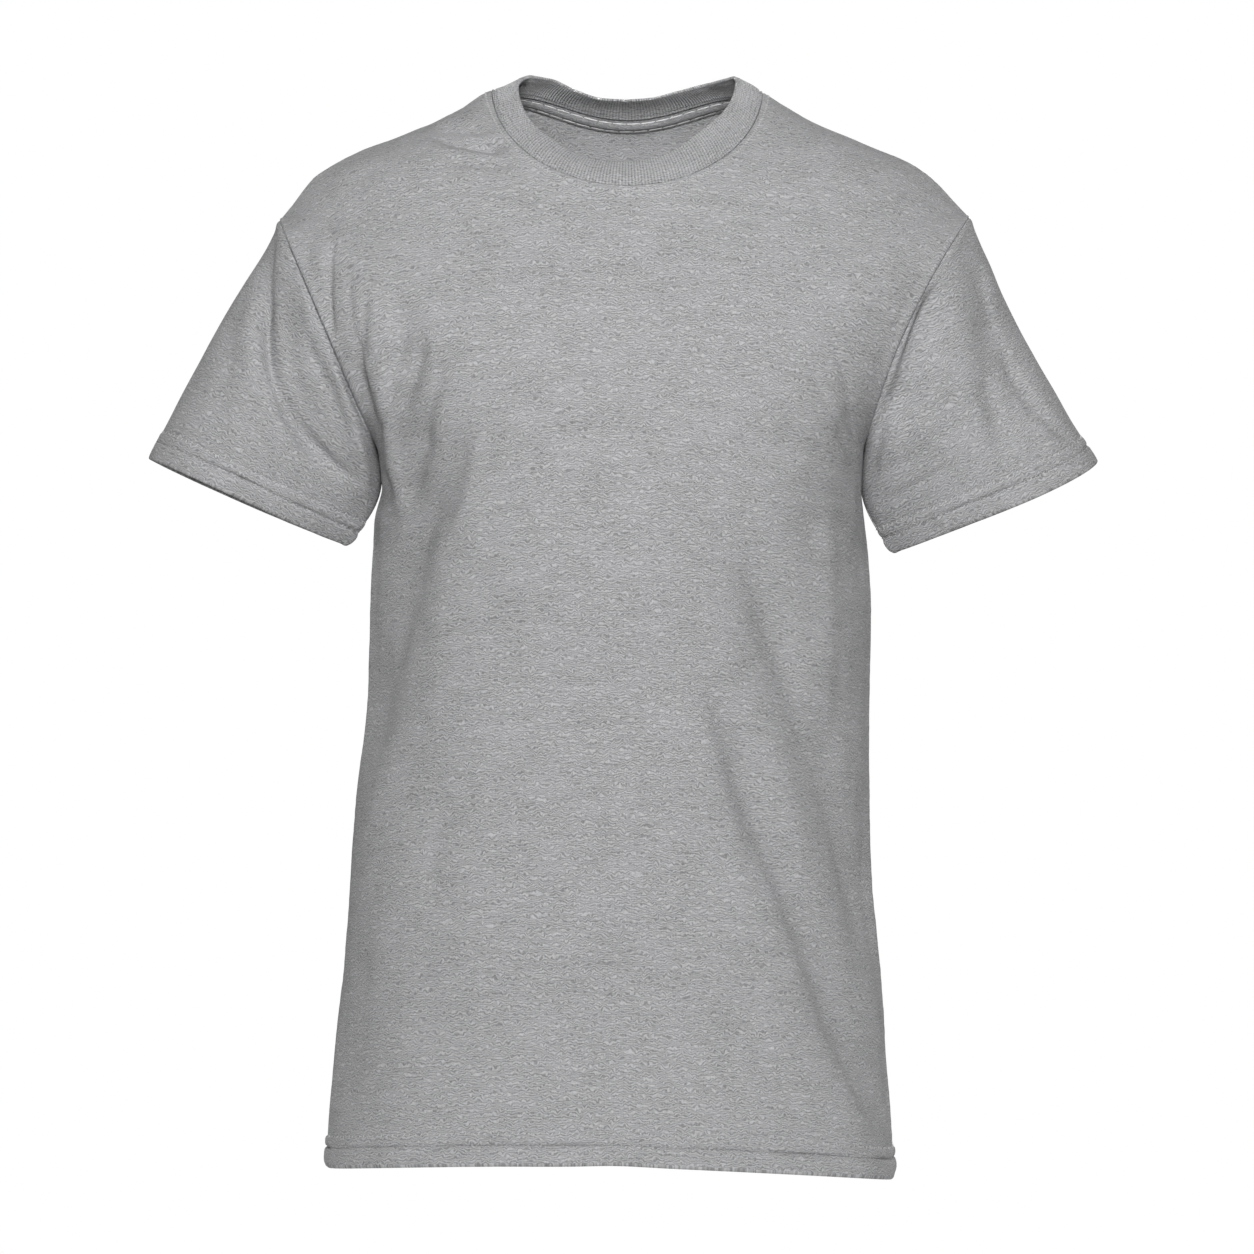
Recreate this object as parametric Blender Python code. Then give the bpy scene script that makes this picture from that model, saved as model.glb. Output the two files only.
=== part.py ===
"""Crew neck t-shirt, adult size M, filled out as it is worn, with nothing inside it.

Metres, +Z up. The front faces -Y and the wearer's left is +X. The origin lies midway between the
two neck points of the shoulder seams. Front, back, two sleeves, a ribbed collar and a neck tape are
each one closed wall of cloth, a seam gap apart.
"""

import math

import bpy
import numpy as np

# Cloth
WALL = 0.0013
HEM_WALL = 0.0024
HEM_RAISE = 0.0010
CUFF_RAISE = 0.0017
HEM_DEPTH = 0.0195
HEM_STEP = 0.0025
SEAM_GAP = 0.0003

# Collar and neck tape
COLLAR_WALL = 0.0024
COLLAR_GAP = 0.0005
COLLAR_ROLL = 0.0015
COLLAR_LEAN = 0.03
RIB_COUNT = 168
RIB_HEIGHT = 0.0004
TAPE_WALL = 0.0010
TAPE_WIDTH = 0.0085
TAPE_GAP = 0.0010
TAPE_MARGIN = 0.0016
TAPE_ENDS = 0.97
TAPE_PACE = 0.02

# Landmarks of each side of the body, as the viewer sees them: LEFT is at -X and RIGHT is at +X
LEFT, RIGHT = -1, 1
FRONT, BACK = -1, 1
SEAM_Y = 0.004
NECK_OUT = 0.0925
ARMPIT = {LEFT: (-0.1690, -0.2450), RIGHT: (0.1605, -0.2450)}
SHOULDER_TIP = {LEFT: (-0.2300, -0.0785), RIGHT: (0.2335, -0.0853)}
HEM_CORNER_Z = {LEFT: -0.7310, RIGHT: -0.7390}
ARMHOLE_DEPTH = {FRONT: 0.068, BACK: 0.072}
ARMHOLE_SCOOP = {(LEFT, FRONT): 0.001, (RIGHT, FRONT): 0.010, (LEFT, BACK): 0.004, (RIGHT, BACK): 0.004}

# How far along a panel its rows smooth the corners of its edge, from where to where, and how fast a row gets back
EDGE_EASE = 0.26
EDGE_EASE_START = 0.5
EDGE_EASE_END = 2.4
EDGE_STEPS = np.linspace(-0.9, 0.9, 9)
EDGE_FADE = 0.13

# Stations up a panel: its edge is the side seam up to PIT, the armhole up to TIP, the shoulder seam up to NECK
HEM, PIT, TIP, NECK = 0.0, 1.0, 2.0, 3.0


def table(names, *rows):
    """A table of sizes, as one array for each named column."""
    return dict(zip(names.split(), np.array(rows).T))


SIDE_SEAMS = table(
    "z       left     right",
    (-0.740, -0.2030, 0.1805),
    (-0.701, -0.2012, 0.1797),
    (-0.640, -0.1975, 0.1760),
    (-0.599, -0.1928, 0.1732),
    (-0.517, -0.1872, 0.1674),
    (-0.435, -0.1800, 0.1642),
    (-0.353, -0.1757, 0.1652),
    (-0.292, -0.1722, 0.1620),
    (-0.265, -0.1662, 0.1595),
    (-0.245, -0.1690, 0.1605),
)

SHOULDER_LINE = table(
    "out    left     right",
    (0.0925, 0.0008, -0.0008),
    (0.1010, -0.0035, -0.0060),
    (0.1140, -0.0124, -0.0138),
    (0.1310, -0.0208, -0.0227),
    (0.1520, -0.0290, -0.0315),
    (0.1720, -0.0362, -0.0403),
    (0.1930, -0.0455, -0.0490),
    (0.2130, -0.0575, -0.0632),
    (0.2300, -0.0785, -0.0815),
    (0.2340, -0.0830, -0.0857),
)

# turn is how far a row turns from its middle to its edge, soft how round it leaves the edge, square its fullness
# and swell how far the back's rows rise between their middle and their edges, beside the nape
MIDDLES = table(
    "station front_y  front_z  back_y  back_z  turn  soft  square  swell",
    (0.00, -0.1310, -0.7170, 0.1270, -0.7350, 90.0, 0.50, 2.35, 0.0),
    (0.30, -0.1280, -0.5810, 0.1210, -0.5890, 90.0, 0.50, 2.35, 0.0),
    (0.60, -0.1255, -0.4500, 0.1150, -0.4480, 90.0, 0.40, 2.35, 0.0),
    (0.85, -0.1290, -0.3480, 0.1190, -0.3420, 90.0, 0.25, 2.30, 0.0),
    (1.00, -0.1285, -0.2950, 0.1240, -0.2880, 88.0, 0.20, 2.25, 0.0),
    (1.25, -0.1235, -0.2460, 0.1240, -0.2330, 72.0, 0.30, 2.10, 0.0),
    (1.50, -0.1150, -0.2000, 0.1200, -0.1800, 60.0, 0.60, 2.00, 0.0),
    (1.85, -0.1030, -0.1520, 0.1090, -0.1150, 66.0, 1.00, 2.00, 0.0),
    (2.25, -0.0920, -0.1160, 0.0930, -0.0640, 80.0, 1.30, 2.00, 0.0),
    (2.60, -0.0850, -0.0940, 0.0790, -0.0370, 90.0, 0.90, 2.00, 0.003),
    (3.00, -0.0780, -0.0713, 0.0640, -0.0115, 90.0, 0.06, 2.00, 0.009),
)

# top and under are how far a sleeve bows out along its top and towards the body along its underarm
CUFFS = table(
    "side  outer_x  outer_z  inner_x  inner_z  half_depth  front_rise  back_drop  top     under",
    (LEFT, -0.3250, -0.2510, -0.1915, -0.3100, 0.061, 0.005, 0.001, 0.0025, 0.0080),
    (RIGHT, 0.3205, -0.2515, 0.1820, -0.3150, 0.061, -0.004, -0.003, -0.0050, 0.0100),
)
CUFF_PINCH = 0.75

# Height of the collar's folded rim, by the angle from the middle of the front or of the back
RIM_OUT = 0.0750
RIM_SIDE_Y = 0.0020
RIM_MIDDLE_Y = {FRONT: -0.0620, BACK: 0.0480}
RIM = table(
    "angle  front_left  front_right  back_left  back_right",
    (0.0, -0.0540, -0.0540, 0.0000, 0.0000),
    (13.0, -0.0530, -0.0515, 0.0008, 0.0012),
    (27.0, -0.0485, -0.0440, 0.0055, 0.0050),
    (45.0, -0.0352, -0.0290, 0.0128, 0.0090),
    (62.0, -0.0220, -0.0160, 0.0138, 0.0112),
    (76.0, -0.0080, -0.0040, 0.0100, 0.0118),
    (90.0, 0.0045, 0.0090, 0.0045, 0.0090),
)

# The largest folds, as lines seen from the front: a fold sinks by sink, and rolls up to its one side by roll
FOLDS = table(
    "face  x0      z0      x1      z1      bow     width  sink    roll",
    (FRONT, 0.060, -0.299, 0.159, -0.615, 0.009, 0.024, 0.0095, 0.0040),
    (FRONT, 0.045, -0.383, 0.162, -0.699, -0.010, 0.022, 0.0080, -0.0040),
    (FRONT, -0.109, -0.265, -0.157, -0.449, -0.008, 0.021, 0.0055, 0.0060),
    (FRONT, 0.158, -0.245, 0.125, -0.150, 0.004, 0.015, 0.0040, 0.0025),
    (FRONT, -0.160, -0.250, -0.158, -0.135, -0.004, 0.014, 0.0040, -0.0025),
    (FRONT, 0.154, -0.255, 0.100, -0.330, 0.006, 0.022, 0.0050, 0.0020),
    (FRONT, -0.158, -0.262, -0.125, -0.300, 0.003, 0.014, 0.0035, -0.0015),
    (FRONT, -0.020, -0.560, -0.024, -0.740, 0.006, 0.030, 0.0040, 0.0030),
    (BACK, -0.050, -0.300, -0.150, -0.600, 0.010, 0.024, 0.0080, 0.0035),
    (BACK, 0.070, -0.330, 0.140, -0.640, -0.010, 0.024, 0.0075, -0.0035),
    (BACK, 0.150, -0.260, 0.095, -0.340, 0.005, 0.020, 0.0050, 0.0025),
    (BACK, -0.155, -0.255, -0.100, -0.330, -0.005, 0.020, 0.0050, 0.0025),
    (BACK, 0.010, -0.500, 0.000, -0.745, 0.006, 0.028, 0.0050, 0.0030),
)

SLEEVE_FOLDS = table(
    "side   face   x0      z0      x1      z1      bow     width  sink    roll",
    (LEFT, FRONT, -0.243, -0.130, -0.200, -0.270, -0.006, 0.014, 0.0060, 0.0030),
    (LEFT, BACK, -0.246, -0.140, -0.205, -0.262, -0.006, 0.016, 0.0055, 0.0030),
    (RIGHT, FRONT, 0.250, -0.140, 0.272, -0.240, 0.003, 0.018, 0.0055, -0.0020),
    (RIGHT, FRONT, 0.207, -0.140, 0.176, -0.225, 0.003, 0.011, 0.0045, 0.0020),
    (RIGHT, BACK, 0.245, -0.150, 0.215, -0.262, 0.006, 0.016, 0.0055, 0.0030),
)

# Shares of a fold's length where it fades in, how far round the side it fades out, and how near the edges it may come
FOLD_START, FOLD_FULL = -0.12, 0.25
FOLD_HIDDEN_Y, FOLD_SHOWN_Y = -0.03, 0.05
FOLD_CLEAR_HOLE, FOLD_CLEAR_SEAM = 0.1, 0.12
FOLD_CLEAR_NECK = 0.25
FOLD_CLEAR_TOP = 0.3

# Cosines between two pieces' normals at a seam, from where it folds apart to where they lie in line
APART, IN_LINE = 0.1, 0.6
SHARP_ANGLE = 50.0

# Grid of each piece
PANEL_COLUMNS = 28
SIDE_ROWS = 15
ARMHOLE_ROWS = 12
SHOULDER_ROWS = 7
SLEEVE_ROWS = 9
COLLAR_ROWS = 2
TAPE_COLUMNS = 28
TAPE_ROWS = 1

JERSEY = ("heather_jersey", (0.40, 0.40, 0.41), 0.88)
RIB = ("heather_rib", (0.38, 0.38, 0.39), 0.90)
TAPE = ("jersey_tape", (0.30, 0.30, 0.31), 0.88)


def smooth(at, knots, values):
    """Cubic through the knots whose slope is the harmonic mean of its two chords, and flat where they turn."""
    step = np.diff(knots)
    chord = np.diff(values) / step
    before, after = chord[:-1], chord[1:]
    same = before * after > 0
    inner = np.where(same, 2 * before * after / np.where(same, before + after, 1), 0)
    slope = np.concatenate([chord[:1], inner, chord[-1:]])
    at = np.clip(at, knots[0], knots[-1])
    i = np.clip(np.searchsorted(knots, at, side="right") - 1, 0, len(step) - 1)
    t = (at - knots[i]) / step[i]
    rise = values[i + 1] - values[i]
    start, end = slope[i] * step[i], slope[i + 1] * step[i]
    return values[i] + t * start + t**2 * (3 * rise - 2 * start - end) + t**3 * (start + end - 2 * rise)


def ease(value, low, high):
    """0 at low and 1 at high, with level ends."""
    t = np.clip((value - low) / (high - low), 0, 1)
    return t * t * (3 - 2 * t)


def unit(vectors):
    return vectors / np.linalg.norm(vectors, axis=-1, keepdims=True)


def arch(height, soft):
    """0 at height 0 and 1 at height 1: a hyperbola, straight where soft is small and a parabola where it is large."""
    return (np.sqrt(height**2 + soft**2) - soft) / (np.sqrt(1 + soft**2) - soft)


def armhole(side, face, angle):
    """A point of the armhole: angle 0 is the armpit and pi the shoulder tip, in a plane that leans outwards."""
    (pit_x, pit_z), (tip_x, tip_z) = ARMPIT[side], SHOULDER_TIP[side]
    climb = (1 - np.cos(angle)) / 2
    x = pit_x + (tip_x - pit_x) * climb - side * ARMHOLE_SCOOP[side, face] * np.sin(angle) ** 2
    y = SEAM_Y * climb + face * (ARMHOLE_DEPTH[face] * np.sin(angle) + SEAM_GAP / 2)
    return x, y, pit_z + (tip_z - pit_z) * climb


def panel_edge(side, face, station):
    """The outer edge of a panel at each station: side seam, then armhole, then shoulder seam."""
    name = "left" if side == LEFT else "right"
    side_z = HEM_CORNER_Z[side] + (ARMPIT[side][1] - HEM_CORNER_Z[side]) * np.clip(station, HEM, PIT)
    side_x = smooth(side_z, SIDE_SEAMS["z"], SIDE_SEAMS[name])
    hole_x, hole_y, hole_z = armhole(side, face, math.pi * np.clip(station - PIT, 0, 1))
    tip_out = abs(SHOULDER_TIP[side][0])
    out = tip_out + (NECK_OUT - tip_out) * np.clip(station - TIP, 0, 1)
    crest_z = smooth(out, SHOULDER_LINE["out"], SHOULDER_LINE[name])
    below, above = station <= PIT, station >= TIP
    x = np.where(below, side_x, np.where(above, side * out, hole_x))
    y = np.where(below, face * SEAM_GAP / 2, np.where(above, SEAM_Y + face * SEAM_GAP / 2, hole_y))
    z = np.where(below, side_z, np.where(above, crest_z, hole_z))
    return x, y, z


def eased_edge(side, face, station):
    """The panel's edge with its corners at the armpit and the shoulder tip rounded, by a weighted mean along it."""
    reach = EDGE_EASE * ease(station, EDGE_EASE_START, PIT) * ease(station, NECK, EDGE_EASE_END)
    weights = (1 - EDGE_STEPS**2) / np.sum(1 - EDGE_STEPS**2)
    edges = [np.stack(panel_edge(side, face, station + step * reach)) for step in EDGE_STEPS]
    return sum(weight * edge for weight, edge in zip(weights, edges))


def panel(face, across, station):
    """A point of the front or back: each row is an arc from edge to edge through the middle, and dips to it."""
    name = "front" if face == FRONT else "back"
    column = {key: smooth(station, MIDDLES["station"], MIDDLES[key]) for key in MIDDLES}
    left, right = eased_edge(LEFT, face, station), eased_edge(RIGHT, face, station)
    turn = np.radians(column["turn"])
    swing = across * turn
    lean = np.sin(across * math.pi / 2)
    depth = (np.cos(swing) - np.cos(turn)) / (1 - np.cos(turn))
    reach = np.sin(swing) / np.sin(turn)
    power = column["square"]
    full = np.hypot(reach, depth) / (np.abs(reach) ** power + np.abs(depth) ** power) ** (1 / power)
    middle = [(a + b) / 2 for a, b in zip(left, right)]
    half = [(b - a) / 2 for a, b in zip(left, right)]
    x = middle[0] + half[0] * reach * full
    y = middle[1] + half[1] * lean + (column[name + "_y"] - middle[1]) * depth * full
    dip = arch(np.cos(across * math.pi / 2), column["soft"])
    z = middle[2] + half[2] * lean + (column[name + "_z"] - middle[2]) * dip
    if face == BACK:
        z = z + column["swell"] * np.sin(math.pi * across) ** 2
    corner = 0
    for side, ends in ((LEFT, left), (RIGHT, right)):
        near = np.exp(-(1 - side * across) / EDGE_FADE)
        corner = corner + near * (np.stack(panel_edge(side, face, station)) - ends)
    return np.moveaxis(np.stack([x, y, z]) + corner, 0, -1)


def cuff(side, angle):
    """A point of a sleeve's end: a loop from its inner corner, at angle 0, through the front to its outer one.

    The loop is an ellipse whose depth shrinks towards the inner corner, where the cloth lies folded at its seam.
    """
    row = {key: CUFFS[key][0 if side == LEFT else 1] for key in CUFFS}
    climb = (1 - np.cos(angle)) / 2
    x = row["inner_x"] + (row["outer_x"] - row["inner_x"]) * climb
    z = row["inner_z"] + (row["outer_z"] - row["inner_z"]) * climb
    wave = np.sin(angle)
    z = z + np.where(wave > 0, row["front_rise"], row["back_drop"]) * wave * 2 * climb
    fold = np.abs(np.sin(angle / 2)) ** CUFF_PINCH
    return np.stack([x, -row["half_depth"] * wave * fold, z], axis=-1)


def sleeve(side, station, along):
    """A sleeve between its armhole and its cuff. station runs from the armpit over the front and back to it."""
    angle = math.pi * station
    front = np.stack(armhole(side, FRONT, np.clip(angle, 0, math.pi)), axis=-1)
    back = np.stack(armhole(side, BACK, np.clip(2 * math.pi - angle, 0, math.pi)), axis=-1)
    top = np.where((station <= 1)[..., None], front, back)
    shared = (station % 1 == 0)[..., None]
    top = np.where(shared, (front + back) / 2, top)
    top = top + SEAM_GAP * armhole_axis(side)
    end = cuff(side, angle)
    length = np.linalg.norm(end - top, axis=-1)
    hem_start = 1 - HEM_DEPTH / length
    hem_step = 1 - (HEM_DEPTH - HEM_STEP) / length
    share = np.where(along <= 1, along * hem_start, np.where(along <= 2, hem_step, 1))
    row = {key: CUFFS[key][0 if side == LEFT else 1] for key in ("top", "under")}
    climb = (1 - np.cos(angle)) / 2
    bow = side * (row["top"] * climb**2 - row["under"] * (1 - climb) ** 3) * np.sin(math.pi * share)
    return top + share[..., None] * (end - top) + bow[..., None] * np.array([1, 0, 0])


def armhole_axis(side):
    """The unit vector out of the armhole's plane, away from the body."""
    (pit_x, pit_z), (tip_x, tip_z) = ARMPIT[side], SHOULDER_TIP[side]
    return unit(np.array([side * (tip_z - pit_z), 0, -side * (tip_x - pit_x)]))


def collar_ring(face, across, height):
    """The rib band between the neckline, at height 0, and its folded rim, at height 1, with a slight outward roll."""
    base = panel(face, across, np.full_like(across, NECK))
    name = "front" if face == FRONT else "back"
    angle = across * math.pi / 2
    x = RIM_OUT * np.sin(angle)
    y = RIM_SIDE_Y + (RIM_MIDDLE_Y[face] - RIM_SIDE_Y) * np.cos(angle)
    sides = [smooth(np.degrees(abs(angle)), RIM["angle"], RIM[name + end]) for end in ("_left", "_right")]
    z = np.where(across < 0, sides[0], sides[1])
    rim = np.stack([x, y, z], axis=-1)
    start = base + COLLAR_GAP * unit(rim - base)
    outward = unit(np.stack([x, y - SEAM_Y, np.full_like(x, COLLAR_LEAN)], axis=-1))
    roll = COLLAR_ROLL * np.sin(math.pi * height)
    return start + height[..., None] * (rim - start) + roll[..., None] * outward


def fold_depth(points, folds, side=None):
    """How far the folds move the cloth out: each is a line with a bow, sunk along it and rolled up beside it."""
    x, y, z = np.moveaxis(points, -1, 0)
    total = np.zeros_like(x)
    for i in range(len(folds["x0"])):
        row = {key: folds[key][i] for key in folds}
        if side is not None and row["side"] != side:
            continue
        run_x, run_z = row["x1"] - row["x0"], row["z1"] - row["z0"]
        length = math.hypot(run_x, run_z)
        along = ((x - row["x0"]) * run_x + (z - row["z0"]) * run_z) / length**2
        off = ((x - row["x0"]) * run_z - (z - row["z0"]) * run_x) / length
        off = off + row["bow"] * 4 * along * (1 - along)
        taper = ease(along, FOLD_START, FOLD_FULL) * ease(1 - along, FOLD_START, FOLD_FULL)
        near = ease(row["face"] * y, FOLD_HIDDEN_Y, FOLD_SHOWN_Y)
        hill = np.exp(-((off / row["width"]) ** 2))
        lift = row["roll"] * 2 * off / row["width"] - row["sink"]
        total = total + taper * near * hill * lift
    return total


def grid_normals(points, wrap=False):
    """Unit normals of a grid of rows and columns, from its neighbours on each side."""
    up = np.gradient(points, axis=0)
    if wrap:
        across = np.roll(points, -1, axis=1) - np.roll(points, 1, axis=1)
    else:
        across = np.gradient(points, axis=1)
    return unit(np.cross(across, up))


def meet(first, second):
    """One direction for both sides of a seam where they lie nearly in line, and their own where they fold apart."""
    match = ease(np.sum(first * second, axis=-1, keepdims=True), APART, IN_LINE)
    both = first + second
    return unit(first + match * (both / 2 - first)), unit(second + match * (both / 2 - second))


def at_columns(target, source, rows):
    """Rows of vectors known at source, read at target."""
    return unit(np.stack([np.interp(target, source, rows[:, k]) for k in range(3)], axis=-1))


def panel_grid():
    """The columns and the stations of the rows that the front and back share."""
    across = np.linspace(-1, 1, PANEL_COLUMNS + 1)
    side_length = ARMPIT[LEFT][1] - HEM_CORNER_Z[LEFT]
    hem_top, body_start = (HEM_DEPTH - HEM_STEP) / side_length, HEM_DEPTH / side_length
    sides = np.concatenate([[HEM, hem_top], np.linspace(body_start, PIT, SIDE_ROWS)])
    holes = np.linspace(PIT, TIP, ARMHOLE_ROWS + 1)[1:]
    shoulders = np.linspace(TIP, NECK, SHOULDER_ROWS + 1)[1:]
    return across, np.concatenate([sides, holes, shoulders])


def share_seams(normals, stations, across, around):
    """Gives the two sides of each seam one direction, so that their walls stay a seam gap apart."""
    pit, tip = int(np.argmin(abs(stations - PIT))), int(np.argmin(abs(stations - TIP)))
    for column, side in ((0, LEFT), (-1, RIGHT)):
        edges = {face: normals[face][:, column] for face in (FRONT, BACK)}
        ring = normals["sleeve", side][0]
        seam = unit(edges[FRONT] + edges[BACK])
        count = tip - pit
        own = {FRONT: np.arange(1, count), BACK: np.arange(2 * count - 1, count, -1)}
        for face in (FRONT, BACK):
            rows = slice(pit + 1, tip)
            edges[face][rows], ring[own[face]] = meet(edges[face][rows].copy(), ring[own[face]].copy())
            edges[face][: pit + 1] = seam[: pit + 1]
            edges[face][tip:] = seam[tip:]
        top = unit(seam[tip] + ring[count])
        ring[count] = top
        edges[FRONT][tip] = top
        edges[BACK][tip] = top
    half = len(around) // 2
    halves = {FRONT: slice(0, half + 1), BACK: slice(half, None)}
    collar = np.concatenate([normals["collar"][0], normals["collar"][0][:1]])
    ring = np.concatenate([around, [2.0]])
    places = {FRONT: ring[halves[FRONT]] * 2 - 1, BACK: 3 - ring[halves[BACK]] * 2}
    for face in (FRONT, BACK):
        order = np.argsort(places[face])
        band = at_columns(across, places[face][order], collar[halves[face]][order])
        edge = normals[face][-1].copy()
        collar[halves[face]], _ = meet(collar[halves[face]], at_columns(places[face], across, edge))
        normals[face][-1], _ = meet(edge, band)
    normals["collar"][0] = collar[:-1]


def wall(name, outer, inner, flip=False, wrap=False):
    """One closed wall between two grids that match along their borders, as a named object."""
    columns = outer.shape[1]
    points = np.concatenate([outer.reshape(-1, 3), inner.reshape(-1, 3)])
    out_index = np.arange(outer.shape[0] * columns).reshape(-1, columns)
    in_index = out_index.size + np.arange(inner.shape[0] * columns).reshape(-1, columns)
    faces = quads(out_index, wrap) + quads(in_index[:, ::-1], wrap)
    faces += quads(np.stack([in_index[0], out_index[0]]), wrap)
    faces += quads(np.stack([out_index[-1], in_index[-1]]), wrap)
    if not wrap:
        faces += quads(np.stack([in_index[:, 0], out_index[:, 0]], axis=1), False)
        faces += quads(np.stack([out_index[:, -1], in_index[:, -1]], axis=1), False)
    if flip:
        faces = [face[::-1] for face in faces]
    mesh = bpy.data.meshes.new(name)
    mesh.from_pydata(points.tolist(), [], faces)
    mesh.shade_smooth()
    mesh.set_sharp_from_angle(angle=math.radians(SHARP_ANGLE))
    thing = bpy.data.objects.new(name, mesh)
    bpy.context.scene.collection.objects.link(thing)
    return thing


def quads(index, wrap):
    """The faces of a grid of point numbers, closed round its columns where it wraps."""
    if wrap:
        index = np.concatenate([index, index[:, :1]], axis=1)
    corners = [index[:-1, :-1], index[:-1, 1:], index[1:, 1:], index[1:, :-1]]
    return np.stack(corners, axis=-1).reshape(-1, 4).tolist()


def cloth(name, colour, roughness):
    """A plain cloth material of one colour."""
    material = bpy.data.materials.new(name)
    material.use_nodes = True
    shader = material.node_tree.nodes["Principled BSDF"]
    shader.inputs["Base Color"].default_value = (*colour, 1)
    shader.inputs["Roughness"].default_value = roughness
    shader.inputs["Metallic"].default_value = 0.0
    return material


def plain_grids(across, stations, around):
    """The outer points of each piece before its folds, and the sign that turns its normals outwards."""
    columns, rows = np.meshgrid(across, stations)
    ring = np.arange(2 * ARMHOLE_ROWS) / ARMHOLE_ROWS
    along = np.concatenate([np.linspace(0, 1, SLEEVE_ROWS + 1), [2, 3]])
    ring_columns, sleeve_rows = np.meshgrid(ring, along)
    band, height = np.meshgrid(around, np.linspace(0, 1, COLLAR_ROWS + 1))
    front_band = collar_ring(FRONT, np.clip(band * 2 - 1, -1, 1), height)
    back_band = collar_ring(BACK, np.clip(3 - band * 2, -1, 1), height)
    grids = {face: panel(face, columns, rows) for face in (FRONT, BACK)}
    for side in (LEFT, RIGHT):
        grids["sleeve", side] = sleeve(side, ring_columns, sleeve_rows)
    grids["collar"] = np.where(band[..., None] <= 1, front_band, back_band)
    return grids, columns, rows, sleeve_rows


OUTWARD = {FRONT: 1, BACK: -1, ("sleeve", LEFT): 1, ("sleeve", RIGHT): -1, "collar": 1}


def outward_normals(grids, stations, across, around):
    wraps = {key: key not in (FRONT, BACK) for key in grids}
    normals = {key: OUTWARD[key] * grid_normals(grids[key], wraps[key]) for key in grids}
    share_seams(normals, stations, across, around)
    return normals


def fold_grids(grids, normals, columns, rows, sleeve_rows):
    """Moves the outer points by the folds, which die out at the armholes and the neckline, and raises the hems."""
    hole = ease(rows, PIT - FOLD_CLEAR_HOLE, PIT) * ease(rows, TIP + FOLD_CLEAR_HOLE, TIP)
    calm = 1 - hole * (1 - ease(1 - abs(columns), 0, FOLD_CLEAR_SEAM))
    calm = calm * ease(rows, NECK, NECK - FOLD_CLEAR_NECK)
    for face in (FRONT, BACK):
        lift = calm * fold_depth(grids[face], FOLDS)
        lift[:2] += HEM_RAISE
        grids[face] = grids[face] + lift[..., None] * normals[face]
    for side in (LEFT, RIGHT):
        key = ("sleeve", side)
        lift = ease(sleeve_rows, 0, FOLD_CLEAR_TOP) * fold_depth(grids[key], SLEEVE_FOLDS, side)
        lift[-2:] += CUFF_RAISE
        grids[key] = grids[key] + lift[..., None] * normals[key]


def neck_tape(across):
    """A strip on the inside of the back, along the neckline, made from the back's own points moved inwards."""
    level = np.full_like(across, NECK)
    below = level - TAPE_PACE
    pace = np.linalg.norm(panel(BACK, across, level) - panel(BACK, across, below), axis=-1) / TAPE_PACE
    far = np.linspace(TAPE_MARGIN + TAPE_WIDTH, TAPE_MARGIN, TAPE_ROWS + 1)
    columns, distance = np.meshgrid(across, far)
    on_back = panel(BACK, columns, NECK - distance / pace)
    normals = -grid_normals(on_back)
    outer = on_back - (WALL + TAPE_GAP) * normals
    return wall("neck_tape", outer, outer - TAPE_WALL * normals, flip=True)


def main():
    for thing in list(bpy.data.objects):
        bpy.data.objects.remove(thing)
    across, stations = panel_grid()
    around = np.arange(2 * RIB_COUNT) / RIB_COUNT
    grids, columns, rows, sleeve_rows = plain_grids(across, stations, around)
    fold_grids(grids, outward_normals(grids, stations, across, around), columns, rows, sleeve_rows)
    normals = outward_normals(grids, stations, across, around)
    jersey, rib, tape = cloth(*JERSEY), cloth(*RIB), cloth(*TAPE)

    pieces = []
    panel_wall = np.where(rows[:, :1] < stations[2], HEM_WALL, WALL)[..., None]
    for face, name in ((FRONT, "front"), (BACK, "back")):
        inner = grids[face] - panel_wall * normals[face]
        pieces.append((wall(name, grids[face], inner, flip=face == BACK), jersey))
    sleeve_wall = np.where(sleeve_rows[:, :1] > 1, HEM_WALL, WALL)[..., None]
    for side, name in ((LEFT, "sleeve_right"), (RIGHT, "sleeve_left")):
        key = ("sleeve", side)
        inner = grids[key] - sleeve_wall * normals[key]
        pieces.append((wall(name, grids[key], inner, flip=side == RIGHT, wrap=True), jersey))
    ribs = RIB_HEIGHT * (np.arange(2 * RIB_COUNT) % 2)[None, :, None]
    band = grids["collar"] + ribs * normals["collar"]
    inside = (grids["collar"] - COLLAR_WALL * normals["collar"])[[0, -1]]
    pieces.append((wall("collar", band, inside, wrap=True), rib))
    pieces.append((neck_tape(np.linspace(-TAPE_ENDS, TAPE_ENDS, TAPE_COLUMNS + 1)), tape))

    hold = bpy.data.objects.new("wearer_shoulders", None)
    bpy.context.scene.collection.objects.link(hold)
    for thing, material in pieces:
        thing.data.materials.append(material)
        thing.parent = hold


main()
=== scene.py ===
"""Crew neck t-shirt: its cloth, its sewing and a studio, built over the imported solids.

Metres, +Z up. The front faces -Y and the wearer's left is +X. LEFT and RIGHT are the viewer's.
"""

import functools
import math

import bpy
import numpy as np
from bpy.props import FloatProperty, FloatVectorProperty, IntProperty, PointerProperty
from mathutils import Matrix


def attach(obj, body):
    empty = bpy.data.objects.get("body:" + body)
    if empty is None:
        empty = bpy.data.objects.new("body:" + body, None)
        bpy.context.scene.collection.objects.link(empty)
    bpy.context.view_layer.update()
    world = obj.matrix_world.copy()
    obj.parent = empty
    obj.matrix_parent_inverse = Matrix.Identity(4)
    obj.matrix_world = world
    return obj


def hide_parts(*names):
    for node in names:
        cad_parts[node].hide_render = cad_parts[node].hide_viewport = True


bl_info = {
    "name": "Crew Neck T-Shirt",
    "version": (1, 0, 0),
    "blender": (4, 5, 0),
    "location": "3D View > Sidebar > Shirt",
    "description": "Makes the cloth, seams, sewing and studio of a heather grey t-shirt",
    "category": "Add Mesh",
}

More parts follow.
